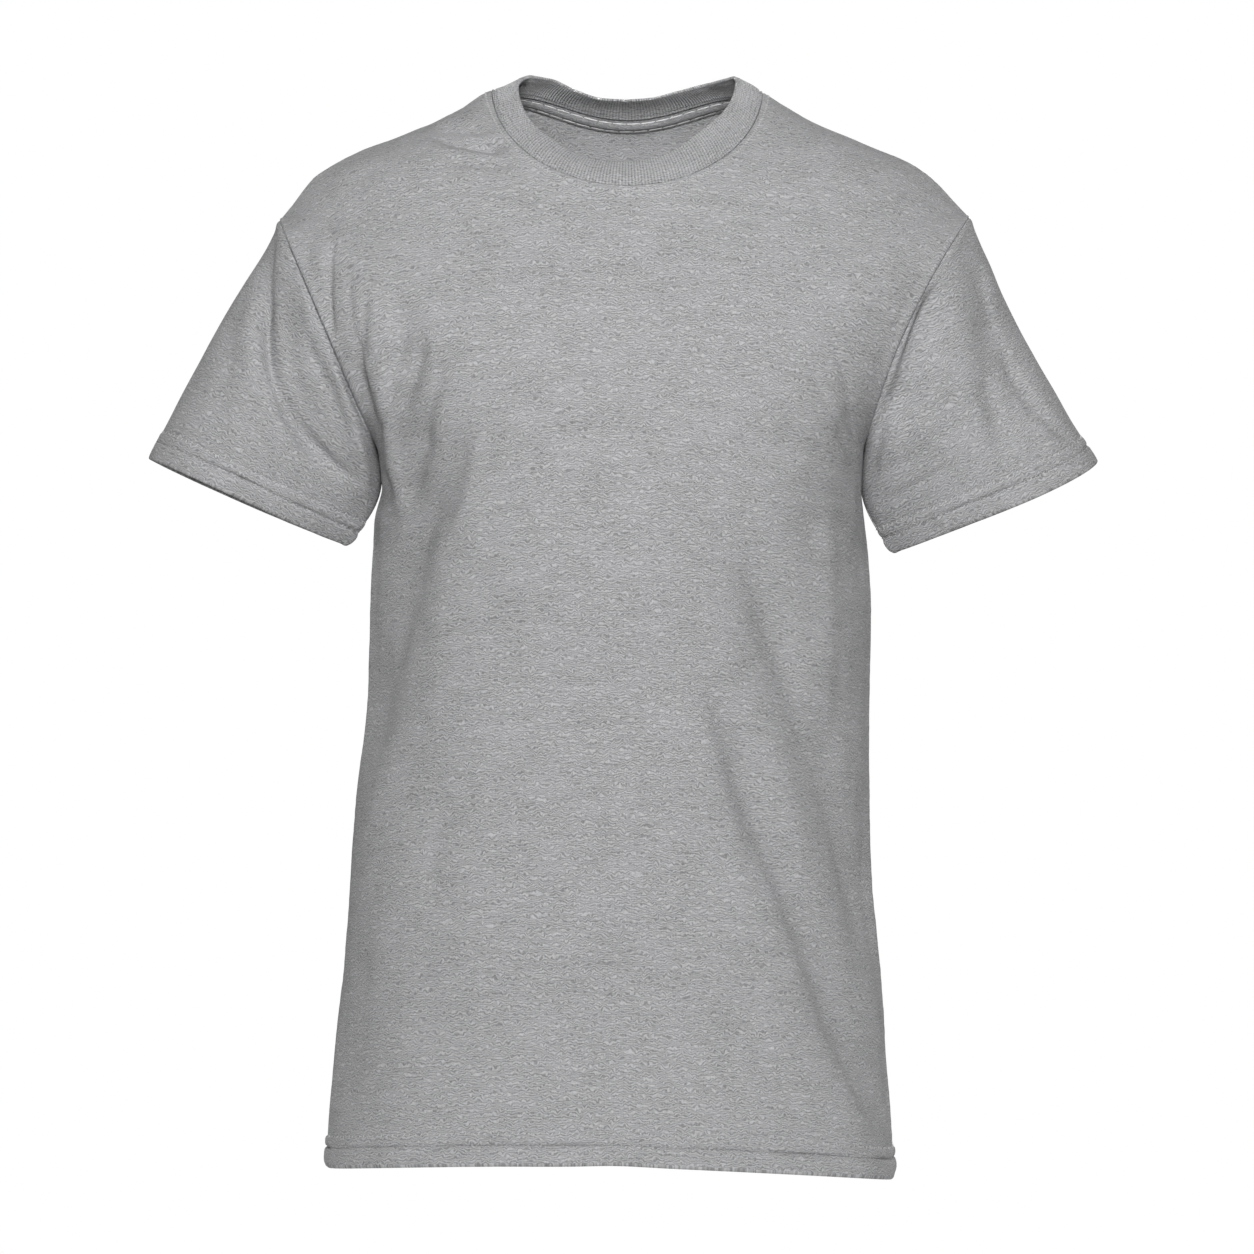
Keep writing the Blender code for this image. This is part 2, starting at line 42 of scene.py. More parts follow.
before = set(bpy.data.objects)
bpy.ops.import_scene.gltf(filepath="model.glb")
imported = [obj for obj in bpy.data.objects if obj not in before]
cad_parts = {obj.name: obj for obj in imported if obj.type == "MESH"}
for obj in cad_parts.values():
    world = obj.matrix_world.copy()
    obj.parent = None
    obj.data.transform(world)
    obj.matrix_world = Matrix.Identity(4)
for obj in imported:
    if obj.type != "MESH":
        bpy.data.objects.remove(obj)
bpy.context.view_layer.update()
UV_MAP = "cloth"

# Landmarks of each side of the body, as in its solids but for the seam gap and the left shoulder tip
LEFT, RIGHT = -1, 1
FRONT, BACK = -1, 1
SEAM_GAP = 0.00006
SEAM_Y = 0.004
NECK_OUT = 0.0925
ARMPIT = {LEFT: (-0.1690, -0.2450), RIGHT: (0.1605, -0.2450)}
SHOULDER_TIP = {LEFT: (-0.2368, -0.0872), RIGHT: (0.2335, -0.0853)}
HEM_CORNER_Z = {LEFT: -0.7310, RIGHT: -0.7390}
ARMHOLE_DEPTH = {FRONT: 0.068, BACK: 0.072}
ARMHOLE_SCOOP = {(LEFT, FRONT): 0.001, (RIGHT, FRONT): 0.010, (LEFT, BACK): 0.004, (RIGHT, BACK): 0.004}
EDGE_EASE, EDGE_EASE_START, EDGE_EASE_END = 0.26, 0.5, 2.4
EDGE_STEPS = np.linspace(-0.9, 0.9, 9)
EDGE_FADE = 0.13

# Waves of soft cloth: height, length and seed. They run longer up the cloth
WAVES = ((0.0007, 0.060, 3), (0.00022, 0.020, 5))
WAVE_SQUASH = np.array([1.0, 1.0, 0.45])

# The body's lower edge stands out below a hollow, and a sleeve is tucked in below its top
BODY_FLARE, FLARE_RISE, FLARE_CLEAR = 0.0035, 0.080, 0.050
HOLLOW, HOLLOW_RISE, HOLLOW_WIDTH = 0.0020, 0.090, 0.045
HOLE_STEP, HOLE_FADE = 0.0008, 0.012
SLEEVE_TUCK = {LEFT: 0.0032, RIGHT: 0.0008}
TUCK_DROP, TUCK_WIDTH = 0.0012, 0.0032

# Both rows of a hem, from its edge up: height of the roll below the row, depth and half width of the groove
# along it, and height and half width of its puckers. The rolls stand up more beside the hem's seam
HEM_ROWS = (
    (0.0021, 0.0013, 0.0010, 0.00030, 0.0035),
    (0.0014, 0.0006, 0.0008, 0.00021, 0.0030),
)
ROLL_POWER = 0.6
HEM_STEP, HEM_FLARE, HEM_FLARE_CLEAR = 0.0005, 0.0020, 0.035
BODY_ROLLS, BODY_ROLLS_MORE, BODY_ROLLS_WIDTH = 0.30, 0.70, 0.020
CUFF_ROLLS, CUFF_ROLLS_MORE, CUFF_ROLLS_WIDTH = 0.16, 0.30, 0.015

# Seams: how deep and wide the line is, the ridge beside it, pitch and seed of the puckers, and their height
SEAM_SINK, SEAM_SINK_WIDTH = 0.0008, 0.0011
SEAM_RIDGE, SEAM_RIDGE_AT, SEAM_RIDGE_WIDTH = 0.0005, 0.0035, 0.0030
NECK_SINK, NECK_SINK_WIDTH, NECK_RIDGE, NECK_RIDGE_FADE = 0.0005, 0.0005, 0.0008, 0.0090
HEM_PUCKER, SEAM_PUCKER, NECK_PUCKER, TAPE_PUCKER = (0.0068, 11), (0.0085, 21), (0.0048, 31), (0.006, 51)
SEAM_TUG, SEAM_TUG_WIDTH = 0.00015, 0.007
NECK_TUG, NECK_TUG_WIDTH = 0.00022, 0.0022

# The collar: its form, its ribs with the least share of their height, their joint, and the strip at the seam
COLLAR_WALL = 0.0024
COLLAR_GAP = 0.0003
COLLAR_ROLL = 0.0015
COLLAR_LEAN = 0.03
RIB_COUNT = 260
RIB_POWER = 0.8
RIB_LEAST = 0.35
RIB_JOINT, RIB_JOINT_AT, RIB_JOINT_WIDTH = 0.0005, 0.155, 0.0016
STRIP_STEP, STRIP_GROOVE, STRIP_GROOVE_WIDTH = 0.0009, 0.0008, 0.0005

# The tape: its place on the back, its walls, its belly, and the dips along its two rows
TAPE_WIDTH = 0.0085
TAPE_MARGIN = 0.0016
TAPE_ENDS = 0.97
TAPE_PACE = 0.02
TAPE_NEAR, TAPE_FAR = 0.0016, 0.0024
TAPE_BELLY, TAPE_TUG = 0.0016, 0.00018
TAPE_ROW_SHARE, TAPE_DIP, TAPE_DIP_WIDTH = 0.17, 0.0012, 0.09

# Rings of one stitch: places along it as shares of its length, thickness and height by the thread's radius
STITCH_RINGS = np.array([
    (-0.5, -0.36, 0, 0.36, 0.5),
    (0.45, 1.0, 1.05, 1.0, 0.45),
    (-0.9, 0.35, 0.75, 0.35, -0.9),
])

# How the stitches of a row lie: slant in radians, length as a share of the pitch, and how uneven both are
LOW_LAY = (0.25, 0.86, 0.3)
HIGH_LAY = (1.0, 0.62, 0.35)
NECK_LAY = (1.35, 0.80, 0.35)
TAPE_LAY = (0.0, 1.08, 0.01)

# The knit's curls, and each layer of its noise: cells in a metre of cloth, detail and roughness
CURL_PITCH, CURL_TURNS, PUSH = 0.0017, 3.1, 0.005
KNIT = {
    "push": ((120, 135, 1), 1.0, 0.5),
    "swirl": ((260, 290, 1), 1.0, 0.5),
    "broken": ((330, 480, 3), 1.0, 0.5),
    "streak": ((200, 1100, 5), 1.0, 0.6),
    "fine": ((900, 900, 1), 1.0, 0.6),
    "bands": ((24, 150, 1), 2.0, 0.6),
    "clouds": ((34, 40, 1), 3.0, 0.6),
}

# How far each layer shades the cloth
CURLS, STREAKS, FINE, BANDS, CLOUDS = 0.52, 0.08, 0.60, 0.34, 0.46

# The camera's height and what most lights face
CAMERA_Z = -0.365
MIDDLE = (0.0, 0.0, -0.36)

# Each light's power by its name in the studio, its place, what it faces, its size and its spread in degrees
LIGHTS = {
    "key_light": ("key", (0.06, -3.2, 0.95), (0.0, 0.0, -0.16), 1.4, 70),
    "left_light": ("sides", (-2.4, 1.5, 0.1), MIDDLE, 1.6, 180),
    "right_light": ("sides", (2.4, 1.5, 0.1), MIDDLE, 1.6, 180),
    "back_light": ("back", (0.3, 3.3, 0.6), MIDDLE, 2.0, 180),
    "neck_light": ("neck", (0.0, -0.9, 0.75), (0.0, 0.06, -0.045), 0.06, 8),
}

# Stations up a panel: its edge is the side seam up to PIT, the armhole up to TIP, then the shoulder seam
HEM, PIT, TIP, NECK = 0.0, 1.0, 2.0, 3.0


def table(names, *rows):
    """A table of sizes, as one array for each named column."""
    return dict(zip(names.split(), np.array(rows).T))


SIDE_SEAMS = table(
    "z       left     right",
    (-0.740, -0.2030, 0.1805),
    (-0.701, -0.2012, 0.1797),
    (-0.640, -0.1975, 0.1760),
    (-0.599, -0.1928, 0.1732),
    (-0.517, -0.1872, 0.1674),
    (-0.435, -0.1800, 0.1642),
    (-0.353, -0.1757, 0.1652),
    (-0.292, -0.1722, 0.1620),
    (-0.265, -0.1662, 0.1595),
    (-0.245, -0.1690, 0.1605),
)

SHOULDER_LINE = table(
    "out    left     right",
    (0.0925, 0.0008, -0.0008),
    (0.1010, -0.0035, -0.0060),
    (0.1140, -0.0124, -0.0138),
    (0.1310, -0.0208, -0.0227),
    (0.1520, -0.0290, -0.0315),
    (0.1720, -0.0362, -0.0403),
    (0.1930, -0.0455, -0.0490),
    (0.2130, -0.0575, -0.0632),
    (0.2300, -0.0785, -0.0815),
    (0.2340, -0.0833, -0.0857),
    (0.2370, -0.0875, -0.0890),
)

# turn is how far a row turns from its middle to its edge, soft how round it leaves the edge, square how full
# it is, and swell how far the back's rows rise between their middle and their edges, beside the nape
MIDDLES = table(
    "station front_y  front_z  back_y  back_z  turn  soft  square  swell",
    (0.00, -0.1310, -0.7170, 0.1270, -0.7350, 90.0, 0.50, 2.35, 0.0),
    (0.30, -0.1280, -0.5810, 0.1210, -0.5890, 90.0, 0.50, 2.35, 0.0),
    (0.60, -0.1255, -0.4500, 0.1150, -0.4480, 90.0, 0.40, 2.35, 0.0),
    (0.85, -0.1290, -0.3480, 0.1190, -0.3420, 90.0, 0.25, 2.30, 0.0),
    (1.00, -0.1285, -0.2950, 0.1240, -0.2880, 88.0, 0.20, 2.25, 0.0),
    (1.25, -0.1235, -0.2460, 0.1240, -0.2330, 72.0, 0.30, 2.10, 0.0),
    (1.50, -0.1150, -0.2000, 0.1200, -0.1800, 60.0, 0.60, 2.00, 0.0),
    (1.85, -0.1030, -0.1520, 0.1090, -0.1150, 66.0, 1.00, 2.00, 0.0),
    (2.25, -0.0920, -0.1160, 0.0930, -0.0640, 80.0, 1.30, 2.00, 0.0),
    (2.60, -0.0850, -0.0940, 0.0790, -0.0370, 90.0, 0.90, 2.00, 0.003),
    (3.00, -0.0780, -0.0713, 0.0640, -0.0115, 90.0, 0.06, 2.00, 0.009),
)

# x and z of each cuff's outer and inner corner, how far its front and back rise between them, and how far the
# sleeve bows out along its top and towards the body along its underarm
CUFFS = {
    LEFT: ((-0.3250, -0.2510), (-0.1915, -0.3100), 0.0012, 0.001, 0.0025, 0.0108),
    RIGHT: ((0.3205, -0.2515), (0.1820, -0.3150), -0.004, -0.003, -0.0050, 0.0100),
}
CUFF_HALF_DEPTH = 0.061
CUFF_PINCH = 0.75

# Height of the collar's folded rim, by the angle from the middle of the front or of the back
RIM_OUT = 0.0750
RIM_SIDE_Y = 0.0020
RIM_MIDDLE_Y = {FRONT: -0.0620, BACK: 0.0480}
RIM = table(
    "angle  front_left  front_right  back_left  back_right",
    (0.0, -0.0540, -0.0540, 0.0000, 0.0000),
    (13.0, -0.0530, -0.0515, 0.0008, 0.0012),
    (27.0, -0.0485, -0.0440, 0.0055, 0.0050),
    (45.0, -0.0352, -0.0290, 0.0128, 0.0090),
    (62.0, -0.0220, -0.0160, 0.0138, 0.0112),
    (76.0, -0.0080, -0.0040, 0.0100, 0.0118),
    (90.0, 0.0045, 0.0090, 0.0045, 0.0090),
)

# The largest folds, in millimetres, as lines seen from the front: x and z of both ends, how far the line
# bows, half width, how far the fold sinks along it, and how far the cloth rolls up to its one side
FOLDS = {
    FRONT: (
        (60, -299, 159, -615, 9, 24, 9.5, 4),
        (57, -400, 173, -700, -3, 19, 7.8, 3),
        (-130, -245, -178, -459, -4, 22, 7.5, 0),
        (158, -245, 125, -150, 4, 15, 0.8, 0),
        (-160, -250, -158, -135, -4, 14, 4, -2.5),
        (154, -255, 100, -330, 6, 22, 1, 0),
        (-158, -262, -125, -300, 3, 14, 0.8, 0),
        (-20, -560, -24, -740, 6, 30, 4, 3),
    ),
    BACK: (
        (-50, -300, -150, -600, 10, 24, 8, 3.5),
        (70, -330, 140, -640, -10, 24, 7.5, -3.5),
        (150, -260, 95, -340, 5, 20, 5, 2.5),
        (-155, -255, -100, -330, -5, 20, 5, 2.5),
        (10, -500, 0, -745, 6, 28, 5, 3),
    ),
}

SLEEVE_FOLDS = {
    LEFT: {
        FRONT: (
            (-243, -130, -200, -270, -6, 14, 6, 3),
        ),
        BACK: (
            (-246, -140, -205, -262, -6, 16, 5.5, 3),
        ),
    },
    RIGHT: {
        FRONT: (
            (250, -140, 272, -240, 3, 18, 5.5, -2),
            (207, -140, 176, -225, 3, 11, 4.5, 2),
        ),
        BACK: (
            (245, -150, 215, -262, 6, 16, 5.5, 3),
        ),
    },
}

# Finer creases, drawn downwards or to the right in the same way, but the last number is a lean, which makes a
# crease steeper on its right side, or on its left one where it is negative
CREASES = {
    FRONT: (
        (-197, -102.4, -195, -176.9, -2.3, 2.8, 2.2, 0.35),
        (-213.2, -103.7, -213.8, -128.6, -0.3, 3, 0.9, 0),
        (-184.4, -121.9, -180.4, -179.5, -1.2, 2.6, 1.1, 0.2),
        (-171.7, -140.7, -174.3, -187.5, -2.1, 3.4, 2, 0.2),
        (-180, -170, -168, -228, -2.3, 3.8, 3, 0.3),
        (-166, -200, -155, -285, 1.5, 5, -3.5, 0),
        (-181.6, -187, -170.2, -224.6, -1.3, 2.6, 1.4, 0.2),
        (-134.7, -175.4, -153.9, -223.2, 2, 4.2, 3, -0.3),
        (-147.3, -168.7, -159.3, -215.3, -1.5, 4.5, 1.6, 0),
        (-119, -187.9, -137.5, -246.2, -2.9, 7.5, 3.2, 0.2),
        (-134.2, -235.6, -150.8, -284.7, 1.2, 8, 3.4, 0.2),
        (-108.4, -238.3, -124.3, -304.6, 3.3, 7.5, 3, 0.3),
        (-113, -230, -179, -480, -4, 16.4, 4.6, 0.6),
        (-150, -300, -172, -460, -1.3, 15, 2, 0.3),
        (-118.6, -467.3, -129.8, -553.2, -2.3, 8, 2, 0.2),
        (-172.3, -534.2, -185.7, -688.1, -2.2, 14, 1.4, 0.3),
        (-162.3, -223.9, -166.4, -263.9, -1.4, 2.2, 1.8, 0),
        (-165, -258.5, -167.7, -286.9, 4.8, 3, 2, 0),
        (-131.7, -30, -82.5, -42.5, -2, 4.5, 7.5, 0),
        (-136.4, -22.8, -92.6, -29.9, -0.9, 3.5, 5, 0),
        (-122.2, -50.4, -77.8, -57.1, -0.8, 3.5, 2, 0),
        (136.2, -170.1, 150.2, -215.6, 0.1, 2.6, 2, 0.3),
        (122.4, -192.8, 137.1, -223.5, -1.5, 2.4, 1.6, 0.3),
        (146.5, -217.4, 156.6, -245.7, -0.4, 3.6, 2, 0.2),
        (140, -231.3, 156.1, -260.8, -0.6, 3.5, 1.4, 0),
        (112.4, -246.8, 156.4, -268.1, 3.9, 5, 1.4, 0),
        (112.4, -266.8, 155.1, -284.2, 1.1, 5.5, 1.4, 0),
        (108.4, -288.2, 153.8, -296.2, -2.5, 6, 1.2, 0),
        (123, -270, 129, -390, -1, 12, 2.8, -0.2),
        (149, -290, 150, -450, 1, 14, 4.4, -0.35),
        (74, -300, 180, -615, 2, 16.8, 6.2, -0.55),
        (134, -390, 158, -600, 0, 15, 4, -0.3),
        (45, -373.4, 87, -531, 2.6, 10, 3, -0.4),
        (74, -460, 182, -730, -2, 10.8, 4.5, -0.5),
        (83, -645.2, 117.2, -695.1, 0.7, 6.5, 2.2, -0.2),
        (51.7, -261.5, 67.5, -307.6, -0.2, 9, 1.8, -0.2),
    ),
    BACK: (
        (150, -160, 160, -225, 2, 5, 2.6, 0.2),
        (120, -190, 156, -240, 3, 4.5, 2.2, 0.3),
        (104, -225, 148, -290, 4, 7.5, 2.8, 0.2),
        (-150, -170, -166, -225, 2, 4.5, 2.6, -0.2),
        (-125, -205, -162, -262, -4, 6, 3, -0.3),
        (-108, -245, -150, -315, -3, 8, 2.6, -0.2),
        (-185, -115, -180, -175, 2, 3.5, 1.8, 0.3),
        (180, -120, 174, -185, -2, 3.5, 1.6, -0.3),
        (-100, -330, -155, -520, 6, 12, 5.2, 0.4),
        (-110, -480, -140, -580, 3, 10, 2.4, 0.2),
        (95, -360, 135, -540, -5, 11, 5, -0.4),
        (100, -470, 128, -600, 3, 10, 3, -0.3),
        (60, -600, 72, -700, 3, 11, 2.2, -0.2),
        (-30, -520, -45, -680, 4, 13, 2, 0.2),
        (-70, -42, 65, -46, 4, 9, 1.6, 0),
        (-50, -90, 60, -93, 5, 11, 1.2, 0),
    ),
}

SLEEVE_CREASES = {
    LEFT: {
        FRONT: (
            (-241, -85, -235, -205, -4.5, 6.6, 5.2, 0.4),
            (-228.5, -108, -212, -210, -4, 11, -2.2, 0),
            (-242, -145, -188, -264, -16.5, 5.8, 6.8, 0.35),
            (-224.6, -110, -188, -228, -9.6, 6, 1.6, 0.25),
            (-214.5, -170.9, -185, -217.8, -3.3, 5.5, 1.6, 0.1),
            (-246.9, -93.3, -274, -174.4, 2.6, 8, 2.4, 0),
            (-263.7, -164.8, -277.1, -232.2, 0, 9, 1.6, 0),
            (-196, -190, -175, -285, 3, 5, -5, 0),
        ),
        BACK: (
            (-225, -150, -190, -230, -4, 5.5, 3, 0.3),
            (-240, -130, -225, -220, -4, 7, 3.4, 0.4),
            (-265, -160, -290, -230, 3, 8, 2, 0),
        ),
    },
    RIGHT: {
        FRONT: (
            (204.5, -125, 173, -235, 1.3, 7, 4.5, -0.2),
            (174.1, -210.6, 163.3, -268.6, -0.1, 4.5, 3, -0.1),
            (230, -102.4, 248, -204.4, -0.2, 8.5, 2.4, 0),
            (240.7, -193.7, 255.4, -259.5, 1.5, 7.5, 3.6, 0.2),
            (239.5, -118.3, 249.6, -172.3, -0.7, 4, 2.4, 0.3),
            (253, -175, 307.1, -242.6, -6.8, 4.5, 4.5, 0.3),
            (271.1, -212, 273.8, -257.8, 2.8, 6, 1.2, 0),
            (172.2, -282.3, 220.5, -254.1, -0.6, 4, 1.2, 0),
            (169.5, -259.5, 205.8, -243.4, -1.9, 4.5, 1, 0),
            (182.9, -225.9, 221.9, -209.8, -2.7, 4.5, 1, 0),
        ),
        BACK: (
            (225, -150, 190, -230, 4, 5.5, 3, -0.2),
            (245, -130, 250, -225, 2, 7.5, 3, 0),
            (262, -160, 290, -230, 3, 7, 2.2, 0.2),
        ),
    },
}

# Shares of its line over which a fold starts, and millimetres of depth over which it turns out of sight
FOLD_START, FOLD_FULL = -0.12, 0.25
FOLD_HIDDEN_Y, FOLD_SHOWN_Y = -30, 50
CREASE_CLEAR_SEAM = 2
FOLD_CLEAR_HOLE, FOLD_CLEAR_SEAM, FOLD_CLEAR_NECK, FOLD_CLEAR_CAP = 0.1, 0.12, 0.25, 0.0267
APART, IN_LINE = 0.1, 0.6

# Grids: rows lie closest across the hems and beside the neckline, and columns beside the seams
EDGE_ROUND_MM = 1.2
HEM_HEIGHTS_MM = [
    0, 1.4, 3, 5, 7, 9, 10.3, 11.1, 11.7, 12.3, 13.1, 14.4, 16,
    17.4, 18.3, 18.9, 19.5, 20.3, 21.5, 23.5, 26.5,
]
NECK_ROWS = [
    0.15, 0.13, 0.112, 0.096, 0.082, 0.07, 0.061, 0.054, 0.048, 0.043, 0.0385, 0.0345,
    0.031, 0.0275, 0.0245, 0.0215, 0.0185, 0.0155, 0.0125, 0.0095, 0.007, 0.0045, 0.002, 0,
]
SEAM_COLUMNS = [0, 0.002, 0.0045, 0.008, 0.0125, 0.018, 0.025, 0.032]
COLUMN_GAP = 0.008
PANEL_COLUMNS = 156
COLUMN_CROWDING = 0.42
SIDE_ROWS = 100
ARMHOLE_ROWS = 96
SHOULDER_ROWS = 34
SLEEVE_ROWS = 90
RIB_STEPS = 4
COLLAR_HEIGHTS = [
    0, 0.02, 0.045, 0.07, 0.09, 0.11, 0.13, 0.155, 0.19, 0.24, 0.31,
    0.39, 0.47, 0.55, 0.63, 0.71, 0.79, 0.86, 0.92, 0.97, 1,
]
TAPE_COLUMNS = 180
TAPE_ROWS = 14
ROUND_ANGLES = (30.0, 62.0)
SHARP_ANGLE = 60.0
STITCH_SIDES = 6


def smooth(at, knots, values):
    """Cubic through the knots: its slope is the harmonic mean of its two chords, and flat where they turn."""
    step = np.diff(knots)
    chord = np.diff(values) / step
    before, after = chord[:-1], chord[1:]
    same = before * after > 0
    inner = np.where(same, 2 * before * after / np.where(same, before + after, 1), 0)
    slope = np.concatenate([chord[:1], inner, chord[-1:]])
    at = np.clip(at, knots[0], knots[-1])
    i = np.clip(np.searchsorted(knots, at, side="right") - 1, 0, len(step) - 1)
    t = (at - knots[i]) / step[i]
    rise = values[i + 1] - values[i]
    start, end = slope[i] * step[i], slope[i + 1] * step[i]
    return values[i] + t * start + t**2 * (3 * rise - 2 * start - end) + t**3 * (start + end - 2 * rise)


def ease(value, low, high):
    """0 at low and 1 at high, with level ends: t * t * (3 - 2 t)."""
    t = np.clip((value - low) / (high - low), 0, 1)
    return t * t * (3 - 2 * t)


def unit(vectors):
    return vectors / np.linalg.norm(vectors, axis=-1, keepdims=True)


def bell(distance, width):
    """1 at no distance, falling off as a bell curve of that half width."""
    return np.exp(-((distance / width) ** 2))


def drift(points, size, seed):
    """Smooth unevenness of about -1 to 1: the mean of plane waves about size long, drawn from seed."""
    draw = np.random.default_rng(seed)
    total = 0
    count = 14
    for _ in range(count):
        way = unit(draw.normal(size=3)) * 2 * math.pi / (size * draw.uniform(0.7, 1.6))
        total = total + np.cos(points @ way + draw.uniform(0, 2 * math.pi))
    return total * math.sqrt(2 / count) / 1.6


def arch(height, soft):
    """0 at 0 and 1 at 1: a hyperbola, straight where soft is small and a parabola where it is large."""
    return (np.sqrt(height**2 + soft**2) - soft) / (np.sqrt(1 + soft**2) - soft)


def armhole(side, face, angle):
    """A point of the armhole, a loop in a leaning plane: angle 0 is the armpit and pi the shoulder tip."""
    (pit_x, pit_z), (tip_x, tip_z) = ARMPIT[side], SHOULDER_TIP[side]
    climb = (1 - np.cos(angle)) / 2
    x = pit_x + (tip_x - pit_x) * climb - side * ARMHOLE_SCOOP[side, face] * np.sin(angle) ** 2
    y = SEAM_Y * climb + face * (ARMHOLE_DEPTH[face] * np.sin(angle) + SEAM_GAP / 2)
    return x, y, pit_z + (tip_z - pit_z) * climb


def panel_edge(side, face, station):
    """The outer edge of a panel at each station: side seam, then armhole, then shoulder seam."""
    name = "left" if side == LEFT else "right"
    side_z = HEM_CORNER_Z[side] + (ARMPIT[side][1] - HEM_CORNER_Z[side]) * np.clip(station, HEM, PIT)
    side_x = smooth(side_z, SIDE_SEAMS["z"], SIDE_SEAMS[name])
    hole_x, hole_y, hole_z = armhole(side, face, math.pi * np.clip(station - PIT, 0, 1))
    tip_out = abs(SHOULDER_TIP[side][0])
    out = tip_out + (NECK_OUT - tip_out) * np.clip(station - TIP, 0, 1)
    crest_z = smooth(out, SHOULDER_LINE["out"], SHOULDER_LINE[name])
    below, above = station <= PIT, station >= TIP
    x = np.where(below, side_x, np.where(above, side * out, hole_x))
    y = np.where(below, face * SEAM_GAP / 2, np.where(above, SEAM_Y + face * SEAM_GAP / 2, hole_y))
    z = np.where(below, side_z, np.where(above, crest_z, hole_z))
    return x, y, z


def eased_edge(side, face, station):
    """The panel's edge, rounded at the armpit and the shoulder tip: a weighted mean along it."""
    reach = EDGE_EASE * ease(station, EDGE_EASE_START, PIT) * ease(station, NECK, EDGE_EASE_END)
    weights = (1 - EDGE_STEPS**2) / np.sum(1 - EDGE_STEPS**2)
    edges = [np.stack(panel_edge(side, face, station + step * reach)) for step in EDGE_STEPS]
    return sum(weight * edge for weight, edge in zip(weights, edges))


def panel(face, across, station):
    """A point of the front or back: each row is an arc from edge to edge that dips to its middle."""
    name = "front" if face == FRONT else "back"
    column = {key: smooth(station, MIDDLES["station"], MIDDLES[key]) for key in MIDDLES}
    left, right = eased_edge(LEFT, face, station), eased_edge(RIGHT, face, station)
    turn = np.radians(column["turn"])
    swing = across * turn
    lean = np.sin(across * math.pi / 2)
    depth = (np.cos(swing) - np.cos(turn)) / (1 - np.cos(turn))
    reach = np.sin(swing) / np.sin(turn)
    power = column["square"]
    full = np.hypot(reach, depth) / (np.abs(reach) ** power + np.abs(depth) ** power) ** (1 / power)
    middle = [(a + b) / 2 for a, b in zip(left, right)]
    half = [(b - a) / 2 for a, b in zip(left, right)]
    x = middle[0] + half[0] * reach * full
    y = middle[1] + half[1] * lean + (column[name + "_y"] - middle[1]) * depth * full
    dip = arch(np.cos(across * math.pi / 2), column["soft"])
    z = middle[2] + half[2] * lean + (column[name + "_z"] - middle[2]) * dip
    if face == BACK:
        z = z + column["swell"] * np.sin(math.pi * across) ** 2
    corner = 0
    for side, ends in ((LEFT, left), (RIGHT, right)):
        near = np.exp(-(1 - side * across) / EDGE_FADE)
        corner = corner + near * (np.stack(panel_edge(side, face, station)) - ends)
    return np.moveaxis(np.stack([x, y, z]) + corner, 0, -1)


def cuff(side, angle):
    """A point of a sleeve's end: a loop from its inner corner, at angle 0, over the front to its outer one.

    The loop is an ellipse whose depth shrinks towards the inner corner, where the cloth folds at its seam.
    """
    outer, inner, front_rise, back_rise = CUFFS[side][:4]
    climb = (1 - np.cos(angle)) / 2
    x, z = (near + (far - near) * climb for near, far in zip(inner, outer))
    wave = np.sin(angle)
    z = z + np.where(wave > 0, front_rise, back_rise) * wave * 2 * climb
    fold = np.abs(np.sin(angle / 2)) ** CUFF_PINCH
    return np.stack([x, -CUFF_HALF_DEPTH * wave * fold, z], axis=-1)


def armhole_axis(side):
    """The unit vector out of the armhole's plane, away from the body."""
    (pit_x, pit_z), (tip_x, tip_z) = ARMPIT[side], SHOULDER_TIP[side]
    return unit(np.array([side * (tip_z - pit_z), 0, -side * (tip_x - pit_x)]))


def sleeve(side, station, share):
    """A sleeve between its armhole and its cuff: straight between them, and bowed by a half sine wave.

    station runs from the armpit over the front to the shoulder tip, at 1, and back to the armpit, at 2.
    """
    angle = math.pi * station
    front = np.stack(armhole(side, FRONT, np.clip(angle, 0, math.pi)), axis=-1)
    back = np.stack(armhole(side, BACK, np.clip(2 * math.pi - angle, 0, math.pi)), axis=-1)
    top = np.where((station <= 1)[..., None], front, back)
    shared = (station % 1 == 0)[..., None]
    top = np.where(shared, (front + back) / 2, top)
    top = top + SEAM_GAP * armhole_axis(side)
    over, under = CUFFS[side][4:]
    climb = (1 - np.cos(angle)) / 2
    bow = side * (over * climb**2 - under * (1 - climb) ** 3) * np.sin(math.pi * share)
    return top + share[..., None] * (cuff(side, angle) - top) + bow[..., None] * np.array([1, 0, 0])


def collar_ring(face, across, height):
    """The rib band from the neckline, at height 0, to its folded rim, at height 1, with an outward roll."""
    base = panel(face, across, np.full_like(across, NECK))
    name = "front" if face == FRONT else "back"
    angle = across * math.pi / 2
    x = RIM_OUT * np.sin(angle)
    y = RIM_SIDE_Y + (RIM_MIDDLE_Y[face] - RIM_SIDE_Y) * np.cos(angle)
    sides = [smooth(np.degrees(abs(angle)), RIM["angle"], RIM[name + end]) for end in ("_left", "_right")]
    z = np.where(across < 0, sides[0], sides[1])
    rim = np.stack([x, y, z], axis=-1)
    start = base + COLLAR_GAP * unit(rim - base)
    outward = unit(np.stack([x, y - SEAM_Y, np.full_like(x, COLLAR_LEAN)], axis=-1))
    roll = COLLAR_ROLL * np.sin(math.pi * height)
    return start + height[..., None] * (rim - start) + roll[..., None] * outward


